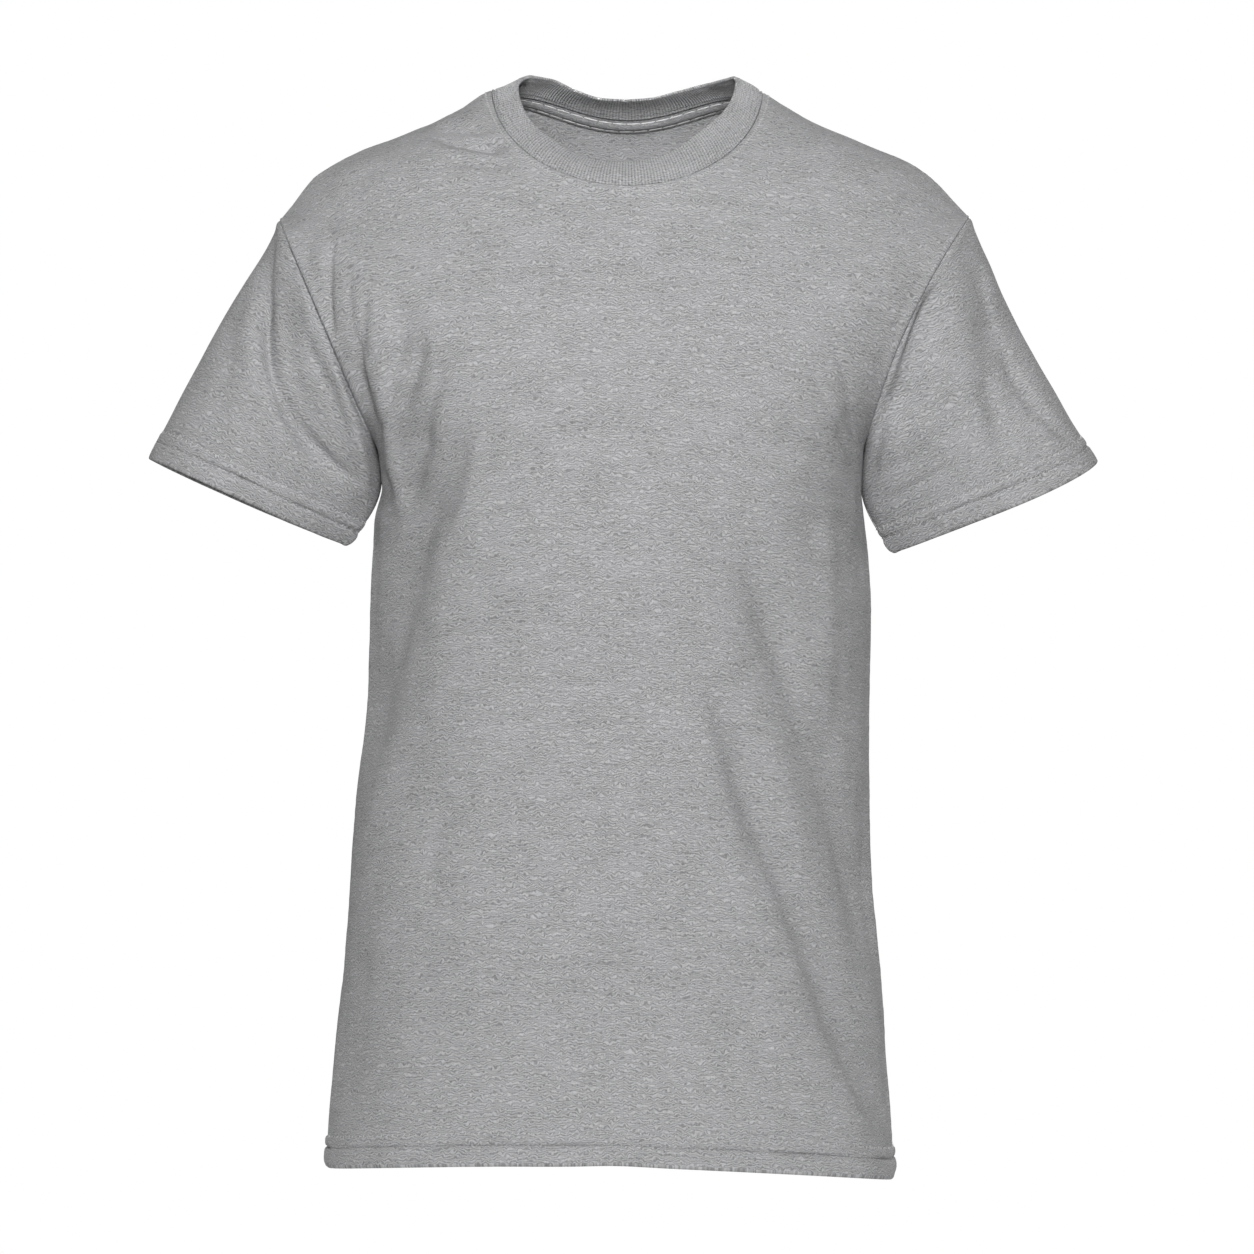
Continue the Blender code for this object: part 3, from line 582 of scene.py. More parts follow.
def fold_depth(points, folds, to_edge=None):
    """How far folds move the cloth out: each is a line with a bow, sunk as a bell and rolled up beside it.

    Creases, where to_edge is given, lean instead: the bell is wider by e to the lean on its left side and
    narrower by as much on its right, and it ends at the cloth's edge.
    """
    x, y, z = np.moveaxis(points, -1, 0) * 1000
    total = 0
    for face, rows in folds.items():
        near = ease(face * y, FOLD_HIDDEN_Y, FOLD_SHOWN_Y)
        for x0, z0, x1, z1, bow, width, sink, last in rows:
            run_x, run_z = x1 - x0, z1 - z0
            length = math.hypot(run_x, run_z)
            along = ((x - x0) * run_x + (z - z0) * run_z) / length**2
            off = ((x - x0) * run_z - (z - z0) * run_x) / length + bow * 4 * along * (1 - along)
            taper = ease(along, FOLD_START, FOLD_FULL) * ease(1 - along, FOLD_START, FOLD_FULL)
            if to_edge is None:
                lift = (last * 2 * off / width - sink) * bell(off, width)
            else:
                lift = -sink * bell(off, width * np.exp(np.where(off > 0, last, -last)))
                lift = lift * ease(to_edge * 1000, 0, width + CREASE_CLEAR_SEAM)
            total = total + near * taper * lift
    return total / 1000


def grid_normals(points, wrap=False):
    """Unit normals of a grid of rows and columns, from its neighbours on each side."""
    up = np.gradient(points, axis=0)
    if wrap:
        across = np.roll(points, -1, axis=1) - np.roll(points, 1, axis=1)
    else:
        across = np.gradient(points, axis=1)
    return unit(np.cross(across, up))


def meet(first, second):
    """One direction for both sides of a seam where they are nearly in line, and their own where they fold."""
    match = ease(np.sum(first * second, axis=-1, keepdims=True), APART, IN_LINE)
    both = first + second
    return unit(first + match * (both / 2 - first)), unit(second + match * (both / 2 - second))


def at_columns(target, source, rows):
    """Rows of vectors known at source, read at target."""
    return unit(np.stack([np.interp(target, source, rows[:, k]) for k in range(3)], axis=-1))


def share_seams(normals, stations, across, around):
    """Gives the two sides of each seam one direction, so that their walls stay a seam gap apart."""
    pit, tip = int(np.argmin(abs(stations - PIT))), int(np.argmin(abs(stations - TIP)))
    for column, side in ((0, LEFT), (-1, RIGHT)):
        edges = {face: normals[face][:, column] for face in (FRONT, BACK)}
        ring = normals["sleeve", side][0]
        seam = unit(edges[FRONT] + edges[BACK])
        count = tip - pit
        own = {FRONT: np.arange(1, count), BACK: np.arange(2 * count - 1, count, -1)}
        for face in (FRONT, BACK):
            rows = slice(pit + 1, tip)
            edges[face][rows], ring[own[face]] = meet(edges[face][rows].copy(), ring[own[face]].copy())
            edges[face][: pit + 1] = seam[: pit + 1]
            edges[face][tip:] = seam[tip:]
        top = unit(seam[tip] + ring[count])
        ring[count] = top
        edges[FRONT][tip] = top
        edges[BACK][tip] = top
    half = len(around) // 2
    halves = {FRONT: slice(0, half + 1), BACK: slice(half, None)}
    collar = np.concatenate([normals["collar"][0], normals["collar"][0][:1]])
    ring = np.concatenate([around, [2.0]])
    places = {FRONT: ring[halves[FRONT]] * 2 - 1, BACK: 3 - ring[halves[BACK]] * 2}
    for face in (FRONT, BACK):
        order = np.argsort(places[face])
        band = at_columns(across, places[face][order], collar[halves[face]][order])
        edge = normals[face][-1].copy()
        collar[halves[face]], _ = meet(collar[halves[face]], at_columns(places[face], across, edge))
        normals[face][-1], _ = meet(edge, band)
    normals["collar"][0] = collar[:-1]


OUTWARD = {FRONT: 1, BACK: -1, ("sleeve", LEFT): 1, ("sleeve", RIGHT): -1, "collar": 1}


def outward_normals(grids, stations, across, around):
    wraps = {key: key not in (FRONT, BACK) for key in grids}
    normals = {key: OUTWARD[key] * grid_normals(grids[key], wraps[key]) for key in grids}
    share_seams(normals, stations, across, around)
    return normals


def run_length(points, axis):
    """Length along a grid's rows or columns, from its first one."""
    step = np.linalg.norm(np.diff(points, axis=axis), axis=-1)
    return np.concatenate([np.zeros_like(step.take([0], axis)), np.cumsum(step, axis=axis)], axis=axis)


@functools.cache
def shirt_form():
    """Each piece's smooth outer grid with its large folds, its normals and its rows and columns."""
    core = 1 - SEAM_COLUMNS[-1] - COLUMN_GAP
    edge = 1 - np.array(SEAM_COLUMNS)
    even = np.linspace(-1, 1, PANEL_COLUMNS)
    crowded = core * (even + COLUMN_CROWDING * np.sin(math.pi * even) / math.pi)
    across = np.concatenate([-edge, crowded, edge[::-1]])
    side_length = ARMPIT[LEFT][1] - HEM_CORNER_Z[LEFT]
    hems = (np.array(HEM_HEIGHTS_MM) + EDGE_ROUND_MM) / 1000 / side_length
    sides = np.linspace(hems[-1], PIT, SIDE_ROWS)[1:]
    holes = np.linspace(PIT, TIP, ARMHOLE_ROWS + 1)[1:]
    necks = NECK - np.array(NECK_ROWS)
    shoulders = np.linspace(TIP, necks[0], SHOULDER_ROWS)[1:-1]
    stations = np.concatenate([hems, sides, holes, shoulders, necks])
    columns, rows = np.meshgrid(across, stations)
    ring = np.arange(2 * ARMHOLE_ROWS) / ARMHOLE_ROWS
    around = 2 * np.arange(RIB_COUNT * RIB_STEPS) / (RIB_COUNT * RIB_STEPS)
    band, height = np.meshgrid(around, np.array(COLLAR_HEIGHTS))
    front_band = collar_ring(FRONT, np.clip(band * 2 - 1, -1, 1), height)
    back_band = collar_ring(BACK, np.clip(3 - band * 2, -1, 1), height)
    grids = {face: panel(face, columns, rows) for face in (FRONT, BACK)}
    shares = {}
    for side in (LEFT, RIGHT):
        reach = np.linalg.norm(cuff(side, math.pi * ring) - sleeve(side, ring, ring * 0), axis=-1)
        hem = (np.array(HEM_HEIGHTS_MM[::-1])[:, None] + EDGE_ROUND_MM) / 1000 / reach
        body = np.linspace(0, 1, SLEEVE_ROWS)[:-1, None] * (1 - hem[:1])
        shares[side] = np.concatenate([body, 1 - hem])
        grids["sleeve", side] = sleeve(side, np.broadcast_to(ring, shares[side].shape), shares[side])
    grids["collar"] = np.where(band[..., None] <= 1, front_band, back_band)
    normals = outward_normals(grids, stations, across, around)
    hole = ease(rows, PIT - FOLD_CLEAR_HOLE, PIT) * ease(rows, TIP + FOLD_CLEAR_HOLE, TIP)
    calm = 1 - hole * (1 - ease(1 - abs(columns), 0, FOLD_CLEAR_SEAM))
    calm = calm * ease(rows, NECK, NECK - FOLD_CLEAR_NECK)
    for face in (FRONT, BACK):
        lift = calm * fold_depth(grids[face], FOLDS)
        grids[face] = grids[face] + lift[..., None] * normals[face]
    for side in (LEFT, RIGHT):
        key = ("sleeve", side)
        lift = ease(shares[side], 0, FOLD_CLEAR_CAP) * fold_depth(grids[key], SLEEVE_FOLDS[side])
        grids[key] = grids[key] + lift[..., None] * normals[key]
    normals = outward_normals(grids, stations, across, around)
    return {
        "grids": grids, "normals": normals, "calm": calm, "shares": shares,
        "columns": columns, "rows": rows, "ring": ring, "band": band, "height": height,
    }


def unevenness(points):
    """The slight waves of soft cloth between its folds."""
    return sum(height * drift(points * WAVE_SQUASH, size, seed) for height, size, seed in WAVES)


def pucker(points, along, pitch, seed):
    """A ripple along a seam whose pitch wanders: the sine of the run plus a slow drift."""
    wander = 2.2 * drift(points, 0.040, seed)
    return np.sin(2 * math.pi * along / pitch + wander) * (0.6 + 0.4 * drift(points, 0.030, seed + 1))


def hem_share(height, cloth):
    """1 over a hem and 0 above it, easing past its upper row."""
    return ease(height, cloth.hem_high + 0.0010, cloth.hem_high - 0.0006)


def hem_lift(points, height, along, cloth, full, flare):
    """A folded hem: a roll below each row of stitches, a power of half a sine wave, and a groove along it.

    full is how far the rolls stand up at each place, and flare how far the edge stands away from the body.
    The lower groove is deeper in some places than in others, and puckers run beside both.
    """
    within = hem_share(height, cloth)
    lift = within * (HEM_STEP + flare * (1 - height / cloth.hem_high))
    uneven = np.clip(0.75 + 0.75 * drift(points, 0.045, 61), 0.15, 1.6)
    ripple = pucker(points, along, *HEM_PUCKER)
    start = 0
    for row, depth, sizes in zip((cloth.hem_low, cloth.hem_high), (uneven, 1), HEM_ROWS):
        roll, groove, groove_width, tug, tug_width = sizes
        arc = np.sin(math.pi * np.clip((height - start) / (row - start), 0, 1)) ** ROLL_POWER
        lift = lift + within * full * roll * arc - depth * groove * bell(height - row, groove_width)
        lift = lift + tug * ripple * bell(height - row, tug_width)
        start = row
    return lift


def seam_lift(points, distance, along, share=1):
    """A plain seam: the cloth turns in at its edge and stands up over the allowance beside it, with puckers.

    share is how much of this a place has: none where the cloth folds sharply inwards at the seam already.
    """
    tug = pucker(points, along, *SEAM_PUCKER) * bell(distance, SEAM_TUG_WIDTH)
    ridge = SEAM_RIDGE * bell(distance - SEAM_RIDGE_AT, SEAM_RIDGE_WIDTH)
    return share * (ridge - SEAM_SINK * bell(distance, SEAM_SINK_WIDTH) + SEAM_TUG * tug)


def neck_lift(points, distance, along, cloth):
    """The body beside the collar: it turns in at the seam and stands up over the allowance."""
    row = cloth.topstitch
    ridge = NECK_RIDGE * ease(distance, row + NECK_RIDGE_FADE, row - 0.0006)
    tug = pucker(points, along, *NECK_PUCKER) * bell(distance - row, NECK_TUG_WIDTH)
    return ridge - NECK_SINK * bell(distance, NECK_SINK_WIDTH) + NECK_TUG * tug


def quads(index, wrap):
    """The faces of a grid of point numbers, closed round its columns where it wraps."""
    if wrap:
        index = np.concatenate([index, index[:, :1]], axis=1)
    corners = [index[:-1, :-1], index[:-1, 1:], index[1:, 1:], index[1:, :-1]]
    return np.stack(corners, axis=-1).reshape(-1, 4)


def rounded(outer, inner, uv, first=False, last=False):
    """A wall's two grids with a half round between them at an end: its centre plus half the wall, turned."""
    for at_end, wanted in ((0, first), (-1, last)):
        if not wanted:
            continue
        beside = 1 if at_end == 0 else -2
        centre, half = (outer[at_end] + inner[at_end]) / 2, (outer[at_end] - inner[at_end]) / 2
        away = unit(outer[at_end] + inner[at_end] - outer[beside] - inner[beside])
        reach = np.linalg.norm(half, axis=-1, keepdims=True) * away
        rows = [(np.cos(a), np.sin(a)) for a in np.radians(ROUND_ANGLES)]
        over = np.stack([centre + c * half + s * reach for c, s in rows])
        under = np.stack([centre - c * half + s * reach for c, s in rows])
        repeat = np.repeat(uv[[at_end]], len(rows), axis=0)
        pairs = ((over, outer), (under, inner), (repeat, uv))
        if at_end == 0:
            outer, inner, uv = (np.concatenate([new[::-1], old]) for new, old in pairs)
        else:
            outer, inner, uv = (np.concatenate([old, new]) for new, old in pairs)
    return outer, inner, uv


def add_piece(name, points, faces, corner_uv, material):
    """A mesh object at the origin with smooth shading, its cloth coordinates and its material."""
    mesh = bpy.data.meshes.new(name)
    mesh.from_pydata(points.tolist(), [], faces.tolist())
    layer = mesh.uv_layers.new(name=UV_MAP)
    layer.uv.foreach_set("vector", corner_uv.astype(np.float32).ravel())
    mesh.materials.append(material)
    mesh.shade_smooth()
    mesh.set_sharp_from_angle(angle=math.radians(SHARP_ANGLE))
    piece = bpy.data.objects.new(name, mesh)
    bpy.context.scene.collection.objects.link(piece)
    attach(piece, "root")
    return piece


def add_wall(name, outer, inner, uv, material, flip=False, wrap=False):
    """A closed wall between two grids. Where it wraps, the last column's far corners go on past the seam."""
    shape = outer.shape[:2]
    out_index = np.arange(shape[0] * shape[1]).reshape(shape)
    in_index = out_index + out_index.size
    faces = [quads(out_index, wrap), quads(in_index[:, ::-1], wrap)]
    faces.append(quads(np.stack([in_index[0], out_index[0]]), wrap))
    faces.append(quads(np.stack([out_index[-1], in_index[-1]]), wrap))
    if not wrap:
        faces.append(quads(np.stack([in_index[:, 0], out_index[:, 0]], axis=1), False))
        faces.append(quads(np.stack([out_index[:, -1], in_index[:, -1]], axis=1), False))
    faces = np.concatenate(faces)
    if flip:
        faces = faces[:, ::-1]
    points = np.concatenate([outer.reshape(-1, 3), inner.reshape(-1, 3)])
    flat = np.tile(uv.reshape(-1, uv.shape[-1]), (2, 1))[faces]
    if wrap:
        turn, girth = flat[..., 0], flat[..., 2]
        wide = np.ptp(turn, axis=1, keepdims=True) > girth / 2
        beyond = wide & (turn - turn.min(axis=1, keepdims=True) < girth / 2)
        flat[..., 0] += np.where(beyond, girth, 0)
    return add_piece(name, points, faces, flat[..., :2], material)


def level_line(points, distance, value):
    """One point a column: where a distance that falls from row to row of a grid passes a value."""
    below = np.clip((distance > value).sum(axis=0), 1, len(distance) - 1)
    column = np.arange(points.shape[1])
    far, near = distance[below - 1, column], distance[below, column]
    t = ((far - value) / (far - near))[:, None]
    return points[below - 1, column] * (1 - t) + points[below, column] * t


def add_cloth(name, base, normal, drape, lift, rise, uv, cloth, flip, tube=False):
    """A wall of jersey: its outside stands lift off the form, and its inside lies its thickness under drape.

    Returns the piece, and its outside and normals for the rows of sewing.
    """
    wall = cloth.jersey_wall + (cloth.hem_wall - cloth.jersey_wall) * hem_share(rise, cloth)
    outer, inner = base + lift[..., None] * normal, base + (drape - wall)[..., None] * normal
    ends = rounded(outer, inner, uv, first=not tube, last=tube)
    knit = heather("heather_jersey", tuple(cloth.jersey), 1.0, 0.00018, 0.0016, 0.04)
    return add_wall(name, *ends, knit, flip, tube), (outer, normal)


def rows_at(grids, distance, value):
    """A row of sewing: the line at which a distance passes a value, on a wall and on its normals."""
    return tuple(level_line(grid, distance, value) for grid in grids)


def add_hem_rows(name, lows, highs, cloth, closed):
    """The sewing of like hems: stitches sunk in the lower groove, painted darker as the shade of that groove,
    and slanting ones over the upper.
    """
    seam, sunk = thread("sewing_thread", tuple(cloth.sewing)), thread("sunk_thread", tuple(cloth.painted_groove_shade))
    # The lower row is the same thread painted darker: painted shade of the groove it lies in
    add_stitches(name + "_stitches", lows, sunk, cloth.stitch_pitch, cloth.thread, LOW_LAY, closed)
    add_stitches(name + "_ticks", highs, seam, cloth.tick_pitch, cloth.thread, HIGH_LAY, closed)


def add_stitches(name, lines, material, pitch, thickness, lay, closed=False):
    """Short threads along lines of (points, normals): each is a thin straight tube whose two ends sink in.

    lay gives how far each turns away from its row, how long it is, and how much of both is drawn at random.
    """
    slant, reach, uneven = lay
    radius = thickness / 2
    draw = np.random.default_rng(len(name))
    share, swell, rise = STITCH_RINGS
    rise = rise * radius
    angle = np.arange(STITCH_SIDES) * 2 * math.pi / STITCH_SIDES
    all_points = []
    for points, normals in lines:
        if closed:
            points, normals = np.concatenate([points, points[:1]]), np.concatenate([normals, normals[:1]])
        run = run_length(points, 0)
        count = int(run[-1] / pitch)
        step = run[-1] / count
        at = (np.arange(count) + 0.5) * step
        centre, before, after = (read_line(points, run, at + shift * step) for shift in (0, -0.3, 0.3))
        up = unit(read_line(normals, run, at))
        ahead = unit(after - before)
        turn = (slant * (1 + uneven * draw.normal(size=count)))[:, None]
        way = np.cos(turn) * ahead + np.sin(turn) * np.cross(up, ahead)
        side = unit(np.cross(way, up))
        long = reach * step * (1 + uneven * draw.uniform(-1, 0.6, count))
        spine = centre[:, None] + (long[:, None] * share)[..., None] * way[:, None]
        spine = spine + rise[:, None] * up[:, None]
        ring = np.cos(angle)[:, None] * side[:, None, None] + np.sin(angle)[:, None] * up[:, None, None]
        all_points.append((spine[:, :, None] + (radius * swell)[:, None, None] * ring).reshape(-1, 3))
    points = np.concatenate(all_points)
    each = len(share) * STITCH_SIDES
    index = np.arange(each).reshape(len(share), STITCH_SIDES)
    first, last = index[0], index[-1]
    caps = [first[[0, 1, 2, 3]], first[[0, 3, 4, 5]], last[[3, 2, 1, 0]], last[[5, 4, 3, 0]]]
    one = np.concatenate([quads(index, True)[:, ::-1], caps])
    starts = np.arange(len(points) // each) * each
    faces = (starts[:, None, None] + one).reshape(-1, 4)
    u = np.repeat(share * pitch, STITCH_SIDES)
    v = np.tile(angle * radius, len(share))
    uv = np.tile(np.stack([u, v], axis=-1), (len(starts), 1))
    add_piece(name, points, faces, uv[faces], material)


def read_line(values, run, at):
    """Vectors known along a line, read at other lengths of its run."""
    return np.stack([np.interp(at, run, values[:, k]) for k in range(3)], axis=-1)


class Wire:
    """One output in a node tree. An expression of wires and numbers adds its Math nodes."""

    def __init__(self, tree, socket=None):
        self.tree = tree
        self.socket = socket

    def add(self, kind, settings=None, inputs=None, output=0):
        """A node of this kind: first its settings, then the values or links of its inputs."""
        node = self.tree.nodes.new(kind)
        for name, value in (settings or {}).items():
            setattr(node, name, value)
        for name, value in (inputs or {}).items():
            if isinstance(value, Wire):
                self.tree.links.new(value.socket, node.inputs[name])
            else:
                node.inputs[name].default_value = value
        return Wire(self.tree, node.outputs[output])

    def math(self, operation, *values, clamp=False):
        settings = {"operation": operation, "use_clamp": clamp}
        return self.add("ShaderNodeMath", settings, dict(enumerate(values)))

    def vector(self, operation, *values, output=0):
        return self.add("ShaderNodeVectorMath", {"operation": operation}, dict(enumerate(values)), output)

    def noise(self, place, cells, detail=1.0, roughness=0.5, output=0):
        """Noise about 0.5 with this many cells in a metre of the place, along each of its axes."""
        place = self.vector("MULTIPLY", place, cells)
        inputs = {"Vector": place, "Scale": 1.0, "Detail": detail, "Roughness": roughness}
        return self.add("ShaderNodeTexNoise", {"noise_dimensions": "3D"}, inputs, output)

    def blend(self, factor, first, second):
        """A mix of two colours by a factor."""
        return self.add("ShaderNodeMix", {"data_type": "RGBA"}, {0: factor, 6: first, 7: second}, 2)

    def __add__(self, other):
        return self.math("ADD", self, other)

    def __sub__(self, other):
        return self.math("SUBTRACT", self, other)

    def __mul__(self, other):
        return self.math("MULTIPLY", self, other)

    def __rsub__(self, other):
        return self.math("SUBTRACT", other, self)

    __radd__ = __add__
    __rmul__ = __mul__


def new_material(name):
    """A material, a wire into its tree and its shader."""
    material = bpy.data.materials.new(name)
    material.use_nodes = True
    tree = material.node_tree
    return material, Wire(tree), tree.nodes["Principled BSDF"]


def finish_material(wire, shader, colour, bump, roughness, sheen):
    """Links the colour and the bump, and sets what is even all over."""
    wire.tree.links.new(colour.socket, shader.inputs["Base Color"])
    wire.tree.links.new(bump.socket, shader.inputs["Normal"])
    even = {"Roughness": roughness, "Specular IOR Level": 0.25, "Sheen Weight": sheen, "Sheen Roughness": 0.5}
    for name, value in even.items():
        shader.inputs[name].default_value = value


def shade_of(colour, share):
    """The colour darkened or lightened to a share of itself, with its alpha."""
    return (*[min(1.0, channel * share) for channel in colour], 1.0)


@functools.cache
def heather(name, tint, contrast, relief, wale, painted_wale_shade):
    """Heather knit: curled yarns that show as a dark line beside a light one, with streaks, bands and clouds.

    The curls are the cosine of the height on the cloth over their pitch plus noise times a number of turns,
    over places pushed about by slower noise, so that they run like the lines of a fingerprint, here and there
    broken. contrast is how far they shade the colour, relief how far they stand up, in metres, and
    painted_wale_shade how far the cloth is darkened between the wales, of the pitch wale: painted shade in
    the grooves between the wales, and in the valleys between the collar's ribs. The clouds are a little
    cooler.
    """
    material, wire, shader = new_material(name)
    place = wire.add("ShaderNodeUVMap", {"uv_map": UV_MAP})
    push = wire.vector("SUBTRACT", wire.noise(place, *KNIT["push"], output=1), (0.5, 0.5, 0.5))
    pushed = wire.vector("ADD", place, wire.vector("MULTIPLY", push, (PUSH, PUSH, 0.0)))
    level = wire.add("ShaderNodeSeparateXYZ", None, {0: pushed}, 1)
    turns = wire.noise(pushed, *KNIT["swirl"]) * (2 * math.pi * CURL_TURNS)
    curl = wire.math("COSINE", level * (2 * math.pi / CURL_PITCH) + turns)
    curl = curl * wire.math("MULTIPLY", wire.noise(place, *KNIT["broken"]) - 0.30, 4.5, clamp=True)
    dark = wire.math("MULTIPLY", wire.noise(pushed, *KNIT["streak"]) - 0.58, 7.0, clamp=True)
    fine, bands, clouds = (wire.noise(place, *KNIT[layer]) - 0.5 for layer in ("fine", "bands", "clouds"))
    across = wire.add("ShaderNodeSeparateXYZ", None, {0: place})
    # Painted shade: the cloth darker in the grooves between the wales, and between the collar's ribs
    wales = wire.math("COSINE", across * (2 * math.pi / wale)) * painted_wale_shade
    yarn = curl * CURLS - dark * STREAKS + fine * FINE + 0.008
    shade = yarn * contrast + bands * BANDS + clouds * CLOUDS + wales
    factor = wire.math("ADD", shade * 0.62, 0.5, clamp=True)
    colour = wire.blend(factor, shade_of(tint, 0.45), shade_of(tint, 1.55))
    cool = wire.math("MULTIPLY", clouds + 0.04, 2.5, clamp=True)
    colour = wire.blend(cool * 0.2, colour, (tint[0] * 0.98, tint[1] * 0.955, tint[2] * 1.03, 1.0))
    bump = wire.add("ShaderNodeBump", None, {"Strength": 1.0, "Distance": relief, "Height": yarn + wales})
    finish_material(wire, shader, colour, bump, 0.92, 0.06)
    return material


@functools.cache
def thread(name, tint):
    """Sewing thread: two plies, as slanting stripes of the thread's own coordinates, each painted darker
    where it dips, as painted shade.
    """
    material, wire, shader = new_material(name)
    place = wire.add("ShaderNodeUVMap", {"uv_map": UV_MAP})
    twist = wire.math("SINE", wire.vector("DOT_PRODUCT", place, (9000.0, 9000.0, 0.0), output="Value"))
    # Painted shade: the thread darker where its plies dip, following its bump
    colour = wire.blend(twist * 0.5 + 0.5, shade_of(tint, 0.85), shade_of(tint, 1.1))
    bump = wire.add("ShaderNodeBump", None, {"Strength": 0.6, "Distance": 0.00008, "Height": twist})
    finish_material(wire, shader, colour, bump, 0.6, 0.0)
    return material


def length(name, about, default):
    return FloatProperty(name=name, description=about, default=default, min=0, precision=5, unit="LENGTH")


def tint(name, about, default):
    return FloatVectorProperty(name=name, description=about, default=default, min=0, max=1, subtype="COLOR")


def power(name, about, default):
    return FloatProperty(name=name, description=about, default=default, min=0, subtype="POWER")


class ShirtCloth(bpy.types.PropertyGroup):
    """The cloth's thickness, hems, rows of sewing and colours."""

    jersey_wall: length("Jersey", "Thickness of the single jersey", 0.0010)
    hem_wall: length("Hem", "Thickness of a hem, folded double", 0.0022)
    hem_low: length("Lower Hem Row", "Height of a hem's lower stitches above its edge", 0.0117)
    hem_high: length("Upper Hem Row", "Height of a hem's upper stitches above its edge", 0.0189)
    topstitch: length("Neck Row", "Distance of the topstitch from the collar's seam", 0.0040)
    collar_strip: length("Collar Strip", "Depth of the plain strip between the ribs and the seam", 0.0021)
    rib_height: length("Rib Height", "How far each rib of the collar stands up", 0.0007)
    rib_pitch: length("Rib Pitch", "Distance from rib to rib of the collar", 0.0020)
    stitch_pitch: length("Stitch", "Length of one stitch along its row", 0.0029)
    tick_pitch: length("Tick", "Distance between the slanting stitches of an upper hem row", 0.0045)
    neck_pitch: length("Neck Stitch", "Distance between the cross stitches beside the collar", 0.0022)
    cord_pitch: length("Tape Stitch", "Length of one of the tape's corded stitches", 0.0100)
    thread: length("Thread", "Thickness of the sewing thread", 0.00054)
    cord_width: length("Tape Thread", "Thickness of the tape's corded stitches", 0.00085)
    jersey: tint("Jersey Colour", "Colour of the heather jersey", (0.420, 0.420, 0.428))
    rib: tint("Rib Colour", "Colour of the ribbed collar", (0.420, 0.420, 0.428))
    tape: tint("Tape Colour", "Colour of the tape inside the neck", (0.265, 0.265, 0.271))
    sewing: tint("Thread Colour", "Colour of the sewing thread", (0.70, 0.70, 0.70))
    # Painted shade: the sewing thread darkened where it lies deep in a hem's groove
    painted_groove_shade: tint("Sunk Thread Colour", "Colour of the stitches deep in their groove", (0.32, 0.32, 0.325))
    pale: tint("Neck Thread Colour", "Colour of the stitches beside the collar", (0.66, 0.66, 0.66))
    # Partly the pale thread's own colour and partly painted light: near white so that the cords stay bright
    # in the neck's shade
    painted_light_cord: tint("Tape Thread Colour", "Colour of the tape's corded stitches", (0.97, 0.97, 0.97))


class ShirtStudio(bpy.types.PropertyGroup):
    """The floor, the lights and the camera."""

    floor_drop: length("Floor Drop", "Distance of the floor below the neck", 0.90)
    floor_radius: length("Floor Radius", "Radius of the round floor", 0.75)
    floor_sides: IntProperty(name="Floor Sides", description="Number of straight sides", default=96)
    key: power("Key", "Power of the soft light in front", 17.8)
    sides: power("Sides", "Power of each light at the sides", 18)
    back: power("Back", "Power of the soft light behind", 60)
    neck: power("Neck", "Power of the light aimed into the neck", 0.009)
    sky: FloatProperty(name="Sky", description="Brightness of the light from all round", default=0.06, min=0)
    distance: length("Camera Distance", "Distance of the camera from the shirt's middle plane", 3.2)
    lens: FloatProperty(
        name="Lens", description="Focal length of the camera", default=134.7, subtype="DISTANCE_CAMERA"
    )


def cloth_places(points, normals, face):
    """Where each point lies on the flat cloth: the sum of the steps along its row, taken along the courses,
    and of the steps up its column, taken along the wales. Courses lie level, and lean over the shoulders."""
    lean = ease(points[..., 2], -0.26, -0.04)
    up = unit(np.stack([0 * lean, -face * 0.9 * lean, 1 + 0 * lean], axis=-1))
    course = unit(np.cross(up, normals)) * -face
    wale = np.cross(normals, course) * -face
    along = (np.diff(points, axis=1) * (course[:, 1:] + course[:, :-1]) / 2).sum(axis=-1)
    climb = (np.diff(points, axis=0) * (wale[1:] + wale[:-1]) / 2).sum(axis=-1)
    u = np.concatenate([0 * along[:, :1], np.cumsum(along, axis=1)], axis=1)
    v = np.concatenate([0 * climb[:1], np.cumsum(climb, axis=0)])
    middle = u.shape[1] // 2
    return np.stack([u - u[:, [middle]] + 0.7 * (1 + face), v], axis=-1)


def sleeve_places(points, side):
    """Where each point of a sleeve lies on the cloth: its turn round the sleeve's axis times the mean radius,
    how far along the axis it lies, and the length of one turn."""
    start, end = points[0].mean(axis=0), points[-1].mean(axis=0)
    axis = unit(end - start)
    level = np.array([0.0, 1.0, 0.0])
    from_axis = points - start
    turn = np.arctan2(from_axis @ level, from_axis @ np.cross(axis, level)) % (2 * math.pi)
    climb = from_axis @ axis
    radius = np.linalg.norm(from_axis - climb[..., None] * axis, axis=-1).mean()
    return np.stack([turn * radius + 3 + side, -climb, np.full_like(turn, 2 * math.pi * radius)], axis=-1)


def dressed(piece, node):
    """Hides the imported solid of the node that the piece stands for."""
    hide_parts(node)


